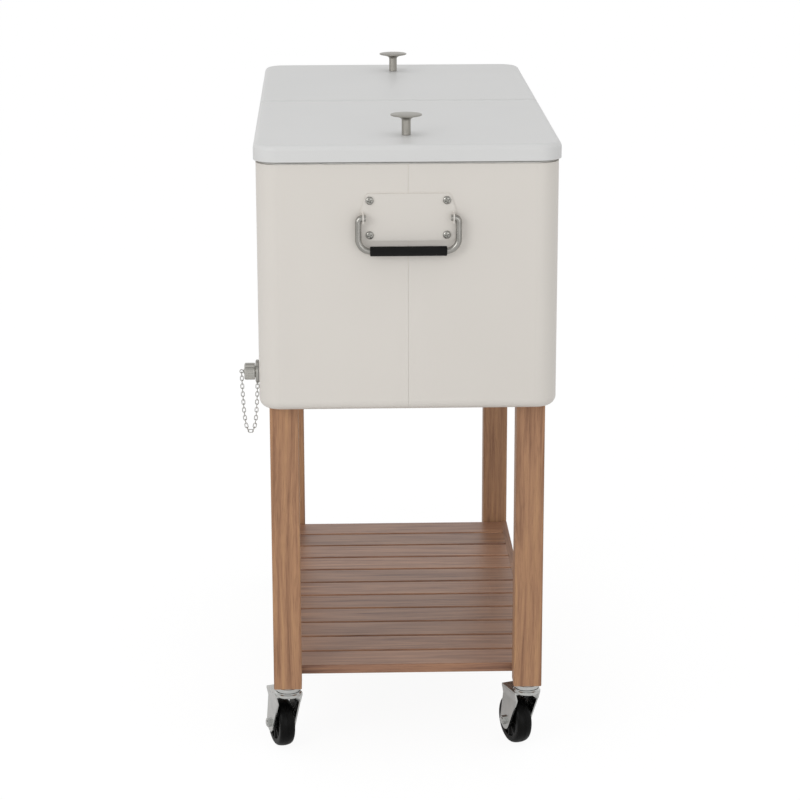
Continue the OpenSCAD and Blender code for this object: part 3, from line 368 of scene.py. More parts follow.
@dataclass(frozen=True)
class WorkedSteel(Finish):
    """Bare or plated steel: fine scratches in one lay, over a slow cloudiness of the plating."""

    code: str = "#b9b9b6"
    shade_code: str = "#8f8f8c"
    roughness: float = 0.3
    spread: float = 0.18
    lay: Lay = Lay.TUMBLED
    scratch_mm: float = 0.5
    cloud_mm: float = 26.0
    depth_mm: float = 0.02

    def build(self) -> bpy.types.Material:
        """Builds the material."""
        made, tree, shader, place = start_material(self.name, {"Metallic": 1.0})
        cloud = add_node(
            tree, "ShaderNodeTexNoise", {"Scale": 1 / self.cloud_mm, "Detail": 3.0}, {"Vector": place}
        )
        shade = add_node(
            tree,
            "ShaderNodeMix",
            {"data_type": "RGBA", 6: linear(self.shade_code), 7: linear(self.code)},
            {0: cloud.outputs[0]},
        )
        drawn = add_node(
            tree,
            "ShaderNodeMapping",
            {"Scale": tuple(way / self.scratch_mm for way in self.lay.value)},
            {"Vector": place},
        )
        scratch = add_node(
            tree, "ShaderNodeTexNoise", {"Scale": 1.0, "Detail": 2.0}, {"Vector": drawn.outputs[0]}
        )
        rough = add_node(
            tree,
            "ShaderNodeMath",
            {"operation": "MULTIPLY_ADD", 1: self.spread, 2: self.roughness - self.spread / 2},
            {0: scratch.outputs[0]},
        )
        bump = add_node(
            tree,
            "ShaderNodeBump",
            {"Strength": 0.25, "Distance": self.depth_mm * MM},
            {"Height": scratch.outputs[0]},
        )
        tree.links.new(shade.outputs[2], shader.inputs["Base Color"])
        tree.links.new(rough.outputs[0], shader.inputs["Roughness"])
        tree.links.new(bump.outputs[0], shader.inputs["Normal"])
        return made


@dataclass(frozen=True)
class Moulded(Finish):
    """Moulded, foamed or cast matter: one colour with a grainy skin and slightly worn high spots."""

    code: str = "#1b1b1c"
    worn_code: str = "#2c2c2d"
    roughness: float = 0.5
    grit_mm: float = 0.7
    grits_in_patch: float = 26.0
    depth_mm: float = 0.05
    gloss: float = 0.5
    metallic: float = 0.0

    def build(self) -> bpy.types.Material:
        """Builds the material."""
        made, tree, shader, place = start_material(
            self.name,
            {
                "Roughness": self.roughness,
                "IOR": 1.5,
                "Specular IOR Level": self.gloss,
                "Metallic": self.metallic,
            },
        )
        grit = add_node(
            tree, "ShaderNodeTexNoise", {"Scale": 1 / self.grit_mm, "Detail": 3.0}, {"Vector": place}
        )
        patch_mm = self.grits_in_patch * self.grit_mm
        patch = add_node(
            tree, "ShaderNodeTexNoise", {"Scale": 1 / patch_mm, "Detail": 3.0}, {"Vector": place}
        )
        shade = add_node(
            tree,
            "ShaderNodeMix",
            {"data_type": "RGBA", 6: linear(self.code), 7: linear(self.worn_code)},
            {0: patch.outputs[0]},
        )
        bump = add_node(
            tree,
            "ShaderNodeBump",
            {"Strength": 0.4, "Distance": self.depth_mm * MM},
            {"Height": grit.outputs[0]},
        )
        tree.links.new(shade.outputs[2], shader.inputs["Base Color"])
        tree.links.new(bump.outputs[0], shader.inputs["Normal"])
        return made


# Powder coat on the wrap and its handle plates: warm off-white, as baked on in one run.
WRAP_PAINT = PowderCoat("wrap_powder_coat")
# The lids carry the same paint, a touch cooler, as drawn parts sprayed lying flat.
LID_PAINT = PowderCoat("lid_powder_coat", code="#d8d8d7", drift_code="#d3d3d2")
# Oiled acacia posts: upright streaks that differ from leg to leg, with painted shade that darkens the posts
# on the -Y side, away from the key light.
LEG_TIMBER = Timber("leg_acacia", grain=Grain.UPRIGHT, painted_side_shade=0.16)
# Oiled acacia boards across the shelf: darker and redder, each board with a tone of its own.
SLAT_TIMBER = Timber(
    "slat_acacia",
    light="#ac7f5f",
    middle="#976f57",
    dark="#745140",
    grain=Grain.CROSSWISE,
    board_mm=63.93,
    tone=0.3,
    roughness=0.47,
)
# Oiled acacia rails along the shelf: between the posts and the boards in tone.
RAIL_TIMBER = Timber(
    "rail_acacia", light="#b08565", middle="#9c755c", dark="#785644", grain=Grain.LENGTHWISE
)
# Ground and buffed stainless steel: grey with soft wide reflections.
BRUSHED_STAINLESS = WorkedSteel(
    "brushed_stainless",
    code="#d3d2cf",
    shade_code="#c8c7c4",
    lay=Lay.ALONG_X,
    roughness=0.38,
    scratch_mm=0.4,
    cloud_mm=90.0,
    depth_mm=0.006,
)
# Turned stainless steel of the spigot, its flange and the screw heads: a little darker in the grooves.
TURNED_STAINLESS = WorkedSteel(
    "turned_stainless", code="#b6b4af", shade_code="#989791", roughness=0.26, lay=Lay.ALONG_Z
)
# Drain cap: turned and then polished, so that the knurl glints.
POLISHED_STAINLESS = WorkedSteel(
    "polished_stainless", code="#c2c0ba", shade_code="#aeaca6", roughness=0.18, cloud_mm=30.0, depth_mm=0.004
)
# Knobs: spun and tumbled, a warm grey that stays even over disc and stem.
TUMBLED_STAINLESS = WorkedSteel(
    "tumbled_stainless", code="#b0ada6", shade_code="#9e9b94", roughness=0.4, cloud_mm=20.0, depth_mm=0.01
)
# Pressed and satin finished tub: rougher than the lid panels, so that its walls light each other.
SATIN_STAINLESS = WorkedSteel(
    "satin_stainless",
    code="#e6e5e2",
    shade_code="#dcdbd8",
    lay=Lay.ALONG_X,
    roughness=0.6,
    scratch_mm=0.4,
    cloud_mm=90.0,
    depth_mm=0.004,
)
# Drawn stainless rod of the bails and hinge pins: die marks run along it, so highlights stay narrow.
DRAWN_ROD = WorkedSteel(
    "drawn_stainless_rod", code="#a9a7a2", shade_code="#8f8d88", roughness=0.28, lay=Lay.ALONG_Y
)
# Bright zinc plate over pressed steel: cloudy with small tumbling marks.
ZINC_PLATE = WorkedSteel(
    "bright_zinc_plate", code="#d4d4d1", shade_code="#b6b7b5", roughness=0.2, cloud_mm=14.0
)
# Nickel plated chain wire: small links, each with a slightly different cloud.
CHAIN_PLATE = WorkedSteel(
    "plated_chain_wire", code="#c2c1bd", shade_code="#a5a4a0", roughness=0.24, cloud_mm=4.0
)
# Grey cast iron with a sand-cast skin under clear lacquer.
SAND_CAST_IRON = Moulded(
    "sand_cast_iron", code="#6f7274", worn_code="#8d9092", roughness=0.48, grit_mm=1.1, metallic=0.8
)
# Soft PVC sleeve: black and silky.
PVC_SLEEVE = Moulded("pvc_grip_sleeve", code="#0a0a09", worn_code="#121211", roughness=0.45, gloss=0.16)
# Moulded polypropylene wheel: black, faintly glossy where it ran.
WHEEL_PLASTIC = Moulded(
    "polypropylene_wheel", code="#060606", worn_code="#0c0c0b", roughness=0.36, gloss=0.11
)
# Poured polyurethane foam: cream, dull and coarse, hidden behind the wrap.
FOAM_FILL = Moulded(
    "rigid_foam", code="#eadfb8", worn_code="#dccf9f", roughness=0.9, grit_mm=1.6, depth_mm=0.3
)
# Pale grey silicone: the lid seals and the washers, hardly darker than the paint beside them.
SEAL_RUBBER = Moulded("silicone_seal", code="#a9a8a5", worn_code="#b3b2af", roughness=0.6)


def closed_grid(points: np.ndarray, wrap_first: bool, wrap_second: bool) -> bpy.types.Mesh:
    """Makes a mesh from a grid of points, with its doubles merged and its normals outward.

    Args:
        points: Array of rows, columns and three coordinates in metres.
        wrap_first: Whether the last row joins the first.
        wrap_second: Whether the last column joins the first.

    Returns:
        The mesh, smooth with sharp edges above 40 degrees.
    """
    rows, columns = points.shape[:2]
    number = np.arange(rows * columns).reshape(rows, columns)
    row_ends = np.roll(number, -1, axis=0) if wrap_first else number[1:]
    row_starts = number if wrap_first else number[:-1]
    if wrap_second:
        corners = (row_starts, np.roll(row_starts, -1, 1), np.roll(row_ends, -1, 1), row_ends)
    else:
        corners = (row_starts[:, :-1], row_starts[:, 1:], row_ends[:, 1:], row_ends[:, :-1])
    faces = np.stack([c.ravel() for c in corners], axis=1)
    mesh = bpy.data.meshes.new("grid")
    mesh.from_pydata(points.reshape(-1, 3).tolist(), [], faces.tolist())
    return tidied(mesh)


def tidied(mesh: bpy.types.Mesh) -> bpy.types.Mesh:
    """Merges a mesh's doubles, drops what they leave and turns its faces outward.

    Args:
        mesh: The mesh, changed in place.

    Returns:
        The same mesh.
    """
    work = bmesh.new()
    work.from_mesh(mesh)
    bmesh.ops.remove_doubles(work, verts=work.verts, dist=1e-6)
    bmesh.ops.dissolve_degenerate(work, edges=work.edges, dist=1e-7)
    bmesh.ops.recalc_face_normals(work, faces=work.faces)
    work.to_mesh(mesh)
    work.free()
    mesh.shade_smooth()
    mesh.set_sharp_from_angle(angle=CREASE)
    return mesh


def joined(meshes: list[bpy.types.Mesh]) -> bpy.types.Mesh:
    """Puts several meshes into one.

    Args:
        meshes: The meshes, which are removed.

    Returns:
        The one mesh.
    """
    work = bmesh.new()
    for mesh in meshes:
        work.from_mesh(mesh)
        bpy.data.meshes.remove(mesh)
    whole = bpy.data.meshes.new("joined")
    work.to_mesh(whole)
    work.free()
    whole.shade_smooth()
    whole.set_sharp_from_angle(angle=CREASE)
    return whole


def add_piece(
    mesh: bpy.types.Mesh, name: str, body: str, finish: Finish, replaced: tuple[str, ...] = ()
) -> bpy.types.Object:
    """Puts a mesh into the scene as a piece of the cooler.

    Args:
        mesh: The mesh, in its place in metres.
        name: The piece's name.
        body: The body that it rides on.
        finish: The finish that it shows.
        replaced: CAD nodes that it stands for.

    Returns:
        The new object.
    """
    made = bpy.data.objects.new(name, mesh)
    mesh.name = name
    bpy.context.scene.collection.objects.link(made)
    mesh.materials.append(finish.material())
    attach(made, body)
    if replaced:
        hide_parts(*replaced)
    LOG.info("piece %s: %d faces", name, len(mesh.polygons))
    return made


def turned(profile: np.ndarray, seat: Vector, axis: Vector, sides: int) -> bpy.types.Mesh:
    """Turns an outline that starts and ends on an axis into a solid.

    Args:
        profile: Radius and height pairs in millimetres.
        seat: The point at height nought, in metres.
        axis: The direction of height.
        sides: Steps round the axis.

    Returns:
        The turned mesh.
    """
    line = profile * MM
    angle = np.linspace(0, 2 * math.pi, sides, endpoint=False)
    across, upright = side_ways(axis)
    around = np.outer(np.cos(angle), across) + np.outer(np.sin(angle), upright)
    points = line[:, 0, None, None] * around[None] + line[:, 1, None, None] * np.array(axis)[None, None]
    return closed_grid(points + np.array(seat), False, True)


def side_ways(axis: Vector) -> tuple[np.ndarray, np.ndarray]:
    """Gives two directions square to an axis and to each other."""
    ahead = np.array(axis, dtype=float)
    guide = np.array([0.0, 0.0, 1.0]) if abs(ahead[2]) < 0.9 else np.array([1.0, 0.0, 0.0])
    across = np.cross(guide, ahead)
    across /= np.linalg.norm(across)
    return across, np.cross(ahead, across)


@dataclass
class Cabinet:
    """The painted wrap with its tub, foam, hinge beam and underside."""

    def build(self) -> None:
        """Dresses the nodes that stand still above the legs."""
        WRAP_PAINT.dress("front_shell", "back_shell")
        SATIN_STAINLESS.dress("tub")
        FOAM_FILL.dress("insulation")
        ZINC_PLATE.dress("base_pan", "hinge_beam", "leg_studs", "nut_plates")
        DRAWN_ROD.dress("hinge_pins")


@dataclass
class HalfLid:
    """One of the two hinged lids."""

    side: str

    def build(self) -> None:
        """Dresses the lid's nodes."""
        LID_PAINT.dress(f"{self.side}_lid_skin")
        BRUSHED_STAINLESS.dress(f"{self.side}_lid_panel")
        FOAM_FILL.dress(f"{self.side}_lid_foam")
        SEAL_RUBBER.dress(f"{self.side}_lid_seal")
        ZINC_PLATE.dress(f"{self.side}_lid_hinge", f"{self.side}_knob_screw")
        Knob(self.side).build()


@dataclass
class Knob:
    """Turned knob: a thin domed disc that flares out of a straight stem, bored from below."""

    side: str
    stem_radius: float = 6.5
    disc_radius: float = 23.0
    height: float = 31.5
    edge_low: float = 28.7
    edge_high: float = 30.1
    flare_from: float = 20.5
    bore: float = 3.1
    bore_depth: float = 15.7
    drill_point: float = 1.5
    foot_chamfer: float = 0.5
    lip: float = 1.2
    steps: int = 14

    def build(self) -> None:
        """Adds the turned knob in the place of the plain one."""
        low, high = (Vector(corner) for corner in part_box(f"{self.side}_knob"))
        seat = Vector(((low.x + high.x) / 2, (low.y + high.y) / 2, low.z))
        add_piece(
            turned(self.outline(), seat, Vector((0, 0, 1)), sides=96),
            f"{self.side}_flared_knob",
            f"{self.side}_lid",
            TUMBLED_STAINLESS,
            (f"{self.side}_knob",),
        )

    def outline(self) -> np.ndarray:
        """Gives the outline from the drill's point down, out, up the flare and over the dome.

        The flare's radius grows with the cube of its height, and the dome falls with the square
        of the radius.

        Returns:
            Radius and height pairs in millimetres.
        """
        rise = np.linspace(0, 1, self.steps)
        flare_radius = self.stem_radius + (self.disc_radius - self.lip - self.stem_radius) * rise**3
        flare_height = self.flare_from + (self.edge_low - 0.5 - self.flare_from) * rise
        edge = [(self.disc_radius - 0.3, self.edge_low - 0.1), (self.disc_radius, self.edge_low + 0.2)]
        edge += [(self.disc_radius, self.edge_high - 0.3)]
        dome_radius = np.linspace(self.disc_radius - 0.4, 0, self.steps)
        dome_height = self.height - (self.height - self.edge_high) * (dome_radius / self.disc_radius) ** 2
        foot = [(0, self.bore_depth), (self.bore, self.bore_depth - self.drill_point), (self.bore, 0)]
        foot += [(self.stem_radius - self.foot_chamfer, 0), (self.stem_radius, self.foot_chamfer)]
        flare = np.stack([flare_radius, flare_height], axis=1)
        dome = np.stack([dome_radius, dome_height], axis=1)
        return np.vstack([foot, flare, edge, dome])


@dataclass
class Stand:
    """The four legs and the slatted shelf between them."""

    def build(self) -> None:
        """Dresses the wooden nodes and their fasteners."""
        LEG_TIMBER.dress("legs", "rail_dowels")
        SLAT_TIMBER.dress("shelf_slats")
        RAIL_TIMBER.dress("shelf_rails")
        ZINC_PLATE.dress("slat_screws")


@dataclass
class CrossHeadScrew:
    """Pan head screw with a cross recess and a plain shank."""

    head_radius: float = 5.8
    head_height: float = 3.2
    shank_radius: float = 3.0
    shank_length: float = 14.0
    point_length: float = 2.0
    crown_fall: float = 0.55
    recess_half: float = 0.7
    recess_reach: float = 3.5
    recess_depth: float = 2.0
    recess_wall: float = 0.25
    recess_end: float = 0.8
    recess_turn: float = math.radians(20)
    sides: int = 64

    def mesh(self, seat: Vector, axis: Vector) -> bpy.types.Mesh:
        """Makes the screw with its head's seat at a point.

        The head is a disc whose height falls with the fourth power of the radius, less a cross
        whose arms taper outwards. The shank goes on below it as a cylinder.

        Args:
            seat: Where the head sits, in metres.
            axis: The way that the head faces.

        Returns:
            The screw's mesh.
        """
        radii = np.concatenate([np.linspace(0, 0.92, 20), [0.97, 1.0]]) * self.head_radius
        angle = np.linspace(0, 2 * math.pi, self.sides, endpoint=False)
        reach, turn = np.meshgrid(radii, angle, indexing="ij")
        flat_x, flat_y = reach * np.cos(turn), reach * np.sin(turn)
        height = self.head_height * (1 - self.crown_fall * (reach / self.head_radius) ** 4)
        nearest = np.minimum(np.abs(flat_x), np.abs(flat_y))
        arm = np.clip((self.recess_half - nearest) / self.recess_wall + 0.5, 0, 1)
        fade = np.clip((self.recess_reach - reach) / self.recess_end, 0, 1)
        height = height - self.recess_depth * arm * fade
        below = [
            (self.head_radius, 0.0),
            (self.shank_radius, 0.0),
            (self.shank_radius, -self.shank_length + self.point_length),
            (0.0, -self.shank_length),
        ]
        rings = [(r * np.cos(angle), r * np.sin(angle), np.full_like(angle, h)) for r, h in below]
        flat_x = np.vstack([flat_x] + [ring[0] for ring in rings])
        flat_y = np.vstack([flat_y] + [ring[1] for ring in rings])
        height = np.vstack([height] + [ring[2] for ring in rings])
        across, upright = side_ways(axis)
        first = across * math.cos(self.recess_turn) + upright * math.sin(self.recess_turn)
        second = upright * math.cos(self.recess_turn) - across * math.sin(self.recess_turn)
        points = flat_x[..., None] * first + flat_y[..., None] * second + height[..., None] * np.array(axis)
        return closed_grid(points * MM + np.array(seat), False, True)


@dataclass
class BailHandle:
    """Plate, hanging bail and sleeve on one end of the cabinet."""

    side: str
    sleeve_radius: float = 7.0
    sleeve_bore: float = 4.6
    sleeve_round: float = 1.6
    flutes: int = 22
    flute_depth: float = 0.35
    flute_end: float = 6.0

    def build(self) -> None:
        """Dresses the plate and the rod and adds the fluted sleeve."""
        WRAP_PAINT.dress(f"{self.side}_handle_plate")
        DRAWN_ROD.dress(f"{self.side}_bail")
        add_piece(
            self.sleeve(),
            f"{self.side}_fluted_grip",
            f"{self.side}_bail_handle",
            PVC_SLEEVE,
            (f"{self.side}_grip",),
        )

    def sleeve(self) -> bpy.types.Mesh:
        """Makes the sleeve: a tube whose outside ripples with the angle, with rounded ends.

        The ripple is the square of a raised cosine of the angle times the number of flutes.

        Returns:
            The sleeve's mesh, in its place.
        """
        low, high = (np.array(corner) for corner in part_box(f"{self.side}_grip"))
        middle, half = (low + high) / 2, (high[1] - low[1]) / 2 / MM
        turn, bend = self.sleeve_radius - self.sleeve_round, self.sleeve_round
        end = [(self.sleeve_bore, -half), (turn, -half)]
        end += [
            (turn + bend * math.sin(a), -half + bend - bend * math.cos(a))
            for a in np.linspace(0.3, math.pi / 2, 5)
        ]
        middle_run = np.linspace(-half + self.flute_end, half - self.flute_end, 7)
        straight = [(self.sleeve_radius, at) for at in middle_run]
        line = np.array(end + straight + [(r, -at) for r, at in reversed(end)])
        angle = np.linspace(0, 2 * math.pi, self.flutes * 8, endpoint=False)
        ripple = self.flute_depth * (0.5 - 0.5 * np.cos(angle * self.flutes)) ** 2
        outer = np.clip((line[:, 0] - self.sleeve_radius + 1.2) / 1.2, 0, 1)
        radius = line[:, 0, None] - outer[:, None] * ripple[None]
        points = np.stack(
            [radius * np.cos(angle), np.broadcast_to(line[:, 1, None], radius.shape), radius * np.sin(angle)],
            axis=-1,
        )
        return closed_grid(points * MM + middle, True, True)


@dataclass
class EndScrews:
    """The screws of both handle plates and of the bottle opener."""

    plate_thickness: float = 2.0
    opener_thickness: float = 4.0
    half_length: float = 431.5
    half_width: float = 216.5
    plate_y: float = 55.0
    plate_z: tuple[float, float] = (817.5, 867.5)
    opener_z: tuple[float, float] = (773.0, 827.0)

    def build(self) -> None:
        """Adds all ten screws as one piece."""
        screw = CrossHeadScrew()
        meshes = []
        for way in (-1, 1):
            for y in (-self.plate_y, self.plate_y):
                for z in self.plate_z:
                    seat = Vector((way * (self.half_length + self.plate_thickness), y, z)) * MM
                    meshes.append(screw.mesh(seat, Vector((way, 0, 0))))
        for z in self.opener_z:
            seat = Vector((0, -self.half_width - self.opener_thickness, z)) * MM
            meshes.append(screw.mesh(seat, Vector((0, -1, 0))))
        add_piece(
            joined(meshes), "cross_head_screws", "cabinet", TURNED_STAINLESS, ("panel_screws",)
        )


@dataclass
class Drain:
    """Spigot, flange, screw cap and the chain that keeps the cap."""

    centre: Vector = Vector((-0.3815, 0, 0.606))
    outer: float = 9.0
    bore: float = 6.0
    head: float = 12.5
    head_from: float = 187.6
    head_to: float = 190.1
    thread_from: float = 222.5
    stop: float = 234.6
    pitch: float = 3.0
    thread_depth: float = 0.8
    thread_rows: int = 60
    chamfer: float = 0.6

    def build(self) -> None:
        """Dresses the drain's nodes and adds the threaded spigot."""
        TURNED_STAINLESS.dress("drain_flange", "cap_eye")
        POLISHED_STAINLESS.dress("drain_cap")
        SEAL_RUBBER.dress("drain_washers")
        CHAIN_PLATE.dress("chain_cap_side", "chain_flange_side")
        add_piece(
            self.spigot(), "threaded_spigot", "cabinet", TURNED_STAINLESS, ("drain_spigot",)
        )

    def spigot(self) -> bpy.types.Mesh:
        """Makes the spigot: a tube whose outside dips in a helix over its threaded length.

        The dip is a clipped triangle wave of the height over the pitch less the angle over a turn.

        Returns:
            The spigot's mesh, in its place.
        """
        straight = [(self.bore, self.stop), (self.bore, self.head_from)]
        straight += [(self.head - self.chamfer, self.head_from), (self.head, self.head_from + self.chamfer)]
        straight += [(self.head, self.head_to), (self.outer, self.head_to)]
        rows = np.linspace(self.thread_from, self.stop - 0.7, self.thread_rows)
        thread = [(self.outer, at) for at in rows]
        line = np.array(straight + thread + [(self.outer - self.chamfer, self.stop)])
        angle = np.linspace(0, 2 * math.pi, 72, endpoint=False)
        along = np.broadcast_to(line[:, 1, None], (len(line), len(angle)))
        wave = np.abs(((along / self.pitch - angle[None] / (2 * math.pi)) % 1) * 2 - 1)
        threaded = (line[:, 1] >= self.thread_from) & (line[:, 0] > self.bore + 1)
        radius = line[:, 0, None] - self.thread_depth * np.clip(wave * 1.6 - 0.3, 0, 1) * threaded[:, None]
        points = np.stack([radius * np.cos(angle), along, radius * np.sin(angle)], axis=-1)
        return closed_grid(points * MM + np.array(self.centre), True, True)


@dataclass
class Caster:
    """One swivel caster: plated fork, axle and moulded wheel."""

    corner: str
    front_turn: float = math.radians(21.5)
    back_turn: float = math.radians(18.5)
    bore: float = 4.05
    radius: float = 38.0
    half_width: float = 12.0
    half_hub: float = 15.0
    hub_radius: float = 9.2
    tread: float = 7.0
    dish: float = 3.2
    rib_rise: float = 2.4
    ribs: int = 8

    def build(self) -> None:
        """Dresses the fork and axle and adds the ribbed wheel."""
        ZINC_PLATE.dress(f"{self.corner}_fork", f"{self.corner}_axle")
        add_piece(
            self.wheel(),
            f"{self.corner}_ribbed_wheel",
            f"{self.corner}_roller",
            WHEEL_PLASTIC,
            (f"{self.corner}_wheel",),
        )

    def wheel(self) -> bpy.types.Mesh:
        """Makes the wheel: a turned profile whose dished sides rise into radial ribs.

        A rib stands where a steep cosine of the angle times the number of ribs is positive.

        Returns:
            The wheel's mesh, in its place.
        """
        low, high = (np.array(corner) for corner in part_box(f"{self.corner}_wheel"))
        middle = (low + high) / 2
        rim, floor = self.radius - self.tread, self.half_width - self.dish
        half = [(self.bore, self.half_hub), (self.hub_radius, self.half_hub)]
        half += [(self.hub_radius + 0.8, self.half_hub - 0.8), (self.hub_radius + 1.4, floor)]
        half += [(r, floor) for r in np.linspace(self.hub_radius + 2.8, rim - 5.5, 5)]
        half += [(rim - 4.6, self.half_width - 0.4), (rim, self.half_width)]
        half += [
            (rim + self.tread * math.cos(a) ** 0.6, self.half_width * math.sin(a))
            for a in np.radians([78, 65, 52, 39, 26, 14, 6])
        ]
        half += [(self.radius - 0.35, 0.9), (self.radius - 0.05, 0.6)]
        line = np.array(half + [(r, -z) for r, z in reversed(half)])
        angle = np.linspace(0, 2 * math.pi, self.ribs * 16, endpoint=False)
        ridge = np.clip(np.cos(angle * self.ribs) * 4 - 2.6, 0, 1)
        web = (line[:, 0] > self.hub_radius + 1.3) & (line[:, 0] < rim - 5)
        along = line[:, 1, None] + np.sign(line[:, 1, None]) * self.rib_rise * web[:, None] * ridge[None]
        radius = np.broadcast_to(line[:, 0, None], along.shape)
        turn = self.front_turn if self.corner.startswith("front") else self.back_turn
        axle = np.array([-math.sin(turn), math.cos(turn), 0.0])
        ahead = np.array([math.cos(turn), math.sin(turn), 0.0])
        points = (
            (radius * np.cos(angle))[..., None] * ahead
            + (radius * np.sin(angle))[..., None] * np.array([0.0, 0.0, 1.0])
            + along[..., None] * axle
        )
        return closed_grid(points * MM + middle, True, True)


@dataclass(frozen=True)
class Softbox:
    """A square lamp that faces the cabinet, its place and side in metres and its power in watts."""

    name: str
    place: Vector
    side: float
    power: float
    aim: Vector = Vector((0, 0, 0.55))

    def build(self) -> None:
        """Hangs the lamp."""
        data = bpy.data.lights.new(self.name, "AREA")
        data.size, data.energy = self.side, self.power
        made = bpy.data.objects.new(self.name, data)
        turn = (self.aim - self.place).to_track_quat("-Z", "Y").to_matrix().to_4x4()
        made.matrix_world = Matrix.Translation(self.place) @ turn
        bpy.context.scene.collection.objects.link(made)


SOFTBOXES = (
    Softbox("key_softbox", Vector((-3.0, 2.3, 2.0)), 1.6, 27.0),
    Softbox("fill_softbox", Vector((-3.6, -1.2, 1.0)), 1.6, 9.0),
    Softbox("overhead_softbox", Vector((-0.4, 0.2, 3.2)), 1.6, 3.2),
)


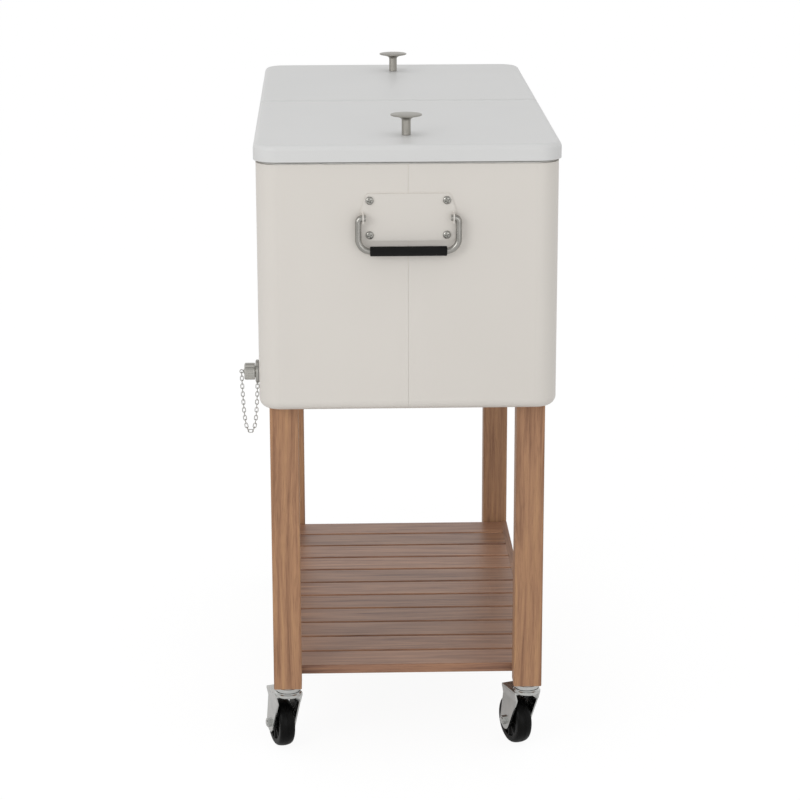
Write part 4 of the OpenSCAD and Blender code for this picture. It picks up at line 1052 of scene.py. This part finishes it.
@dataclass
class Studio:
    """White sweep, soft light and the camera at the photograph's place."""

    camera_place: Vector = Vector((-3.8969, 0.1154, 1.5139))
    focal_px: float = 2477.8
    frame_px: float = 800.0
    yaw: float = 0.02974
    pitch: float = 0.26483
    roll: float = -0.00212
    sensor_mm: float = 36.0
    dome: float = 0.76
    ceiling: float = 0.45
    ceiling_from: float = 0.28
    ceiling_to: float = 0.85
    floor_half: float = 60.0
    floor_mirrored: float = 0.35
    floor_glow: float = 1.03
    glow_share: float = 0.9

    def build(self) -> None:
        """Makes the camera, the lights, the world and the floor."""
        self.add_camera()
        self.add_world()
        for softbox in SOFTBOXES:
            softbox.build()
        self.add_floor()

    def add_camera(self) -> None:
        """Points the camera by its yaw, pitch and roll from a look along the cooler's length."""
        ahead = Vector(
            (
                math.cos(self.yaw) * math.cos(self.pitch),
                -math.sin(self.yaw) * math.cos(self.pitch),
                -math.sin(self.pitch),
            )
        )
        right = Vector((-math.sin(self.yaw), -math.cos(self.yaw), 0))
        upward = right.cross(ahead)
        leaned = right * math.cos(self.roll) + upward * math.sin(self.roll)
        raised = upward * math.cos(self.roll) - right * math.sin(self.roll)
        data = bpy.data.cameras.new("photo_camera")
        data.sensor_width = self.sensor_mm
        data.lens = self.focal_px / self.frame_px * self.sensor_mm
        made = bpy.data.objects.new("photo_camera", data)
        turn = Matrix((leaned, raised, -ahead)).transposed().to_4x4()
        made.matrix_world = Matrix.Translation(self.camera_place) @ turn
        bpy.context.scene.collection.objects.link(made)
        bpy.context.scene.camera = made

    def seen(self, tree: bpy.types.NodeTree, mirrored: float = 1.0) -> bpy.types.NodeSocket:
        """Says whether a ray comes from the camera, a reflection or clear matter.

        Args:
            tree: The tree that gets the nodes.
            mirrored: What a reflection counts for, from nought to one.

        Returns:
            A socket that is one for a ray of the camera, and the share for a reflection.
        """
        path = add_node(tree, "ShaderNodeLightPath")
        glossy = add_node(
            tree,
            "ShaderNodeMath",
            {"operation": "MULTIPLY", 1: mirrored},
            {0: path.outputs["Is Glossy Ray"]},
        )
        first = add_node(
            tree,
            "ShaderNodeMath",
            {"operation": "MAXIMUM"},
            {0: path.outputs["Is Camera Ray"], 1: glossy.outputs[0]},
        )
        both = add_node(
            tree,
            "ShaderNodeMath",
            {"operation": "MAXIMUM"},
            {0: first.outputs[0], 1: path.outputs["Is Transmission Ray"]},
        )
        return both.outputs[0]

    def add_world(self) -> None:
        """Makes a white surround that lights the cooler at a plain level.

        The camera sees pure white, plain light comes from an even dome, and a mirrored ray sees a
        room whose white walls darken towards the ceiling.
        """
        world = bpy.data.worlds.new("white_surround")
        bpy.context.scene.world = world
        world.use_nodes = True
        tree = world.node_tree
        tree.nodes.clear()
        lighting = add_node(tree, "ShaderNodeBackground", {"Color": WHITE, "Strength": self.dome})
        way = add_node(tree, "ShaderNodeTexCoord").outputs["Generated"]
        upward = add_node(tree, "ShaderNodeSeparateXYZ", links={0: way}).outputs[2]
        room = add_node(
            tree,
            "ShaderNodeMapRange",
            {
                "From Min": self.ceiling_from,
                "From Max": self.ceiling_to,
                "To Min": 1.0,
                "To Max": self.ceiling,
            },
            {"Value": upward},
        )
        mirrored = add_node(tree, "ShaderNodeBackground", {"Color": WHITE}, {"Strength": room.outputs[0]})
        backdrop = add_node(tree, "ShaderNodeBackground", {"Color": WHITE, "Strength": 1.0})
        direct = add_node(
            tree,
            "ShaderNodeMixShader",
            links={0: self.seen(tree, 0.0), 1: lighting.outputs[0], 2: backdrop.outputs[0]},
        )
        glossy = add_node(tree, "ShaderNodeLightPath").outputs["Is Glossy Ray"]
        choice = add_node(
            tree, "ShaderNodeMixShader", links={0: glossy, 1: direct.outputs[0], 2: mirrored.outputs[0]}
        )
        add_node(tree, "ShaderNodeOutputWorld", links={"Surface": choice.outputs[0]})

    def add_floor(self) -> None:
        """Adds a pale floor that looks white and keeps the cooler's shadow."""
        half = self.floor_half
        mesh = bpy.data.meshes.new("floor")
        corners = [(-half, -half, 0), (half, -half, 0), (half, half, 0), (-half, half, 0)]
        mesh.from_pydata(corners, [], [(0, 1, 2, 3)])
        made = bpy.data.objects.new("floor", mesh)
        bpy.context.scene.collection.objects.link(made)
        material = bpy.data.materials.new("white_paper_sweep")
        material.use_nodes = True
        tree = material.node_tree
        tree.nodes.clear()
        paper = add_node(tree, "ShaderNodeBsdfDiffuse", {"Color": (0.8, 0.8, 0.8, 1)})
        pale = add_node(tree, "ShaderNodeBsdfDiffuse", {"Color": (0.98, 0.98, 0.98, 1)})
        glow = add_node(tree, "ShaderNodeEmission", {"Color": WHITE, "Strength": self.floor_glow})
        shown = add_node(
            tree, "ShaderNodeMixShader", {0: self.glow_share}, {1: pale.outputs[0], 2: glow.outputs[0]}
        )
        choice = add_node(
            tree,
            "ShaderNodeMixShader",
            links={0: self.seen(tree, self.floor_mirrored), 1: paper.outputs[0], 2: shown.outputs[0]},
        )
        add_node(tree, "ShaderNodeOutputMaterial", links={"Surface": choice.outputs[0]})
        mesh.materials.append(material)


def main() -> None:
    """Builds the studio and dresses every part of the cooler."""
    logging.basicConfig(level=logging.INFO, format="%(message)s")
    bpy.context.scene.view_settings.view_transform = "Standard"
    Studio().build()
    Cabinet().build()
    for side in ("left", "right"):
        HalfLid(side).build()
        BailHandle(side).build()
    Stand().build()
    EndScrews().build()
    Drain().build()
    SAND_CAST_IRON.dress("bottle_opener")
    ZINC_PLATE.dress("caster_stems")
    for corner in ("front_left", "back_left", "front_right", "back_right"):
        Caster(corner).build()


if __name__ == "__main__":
    main()
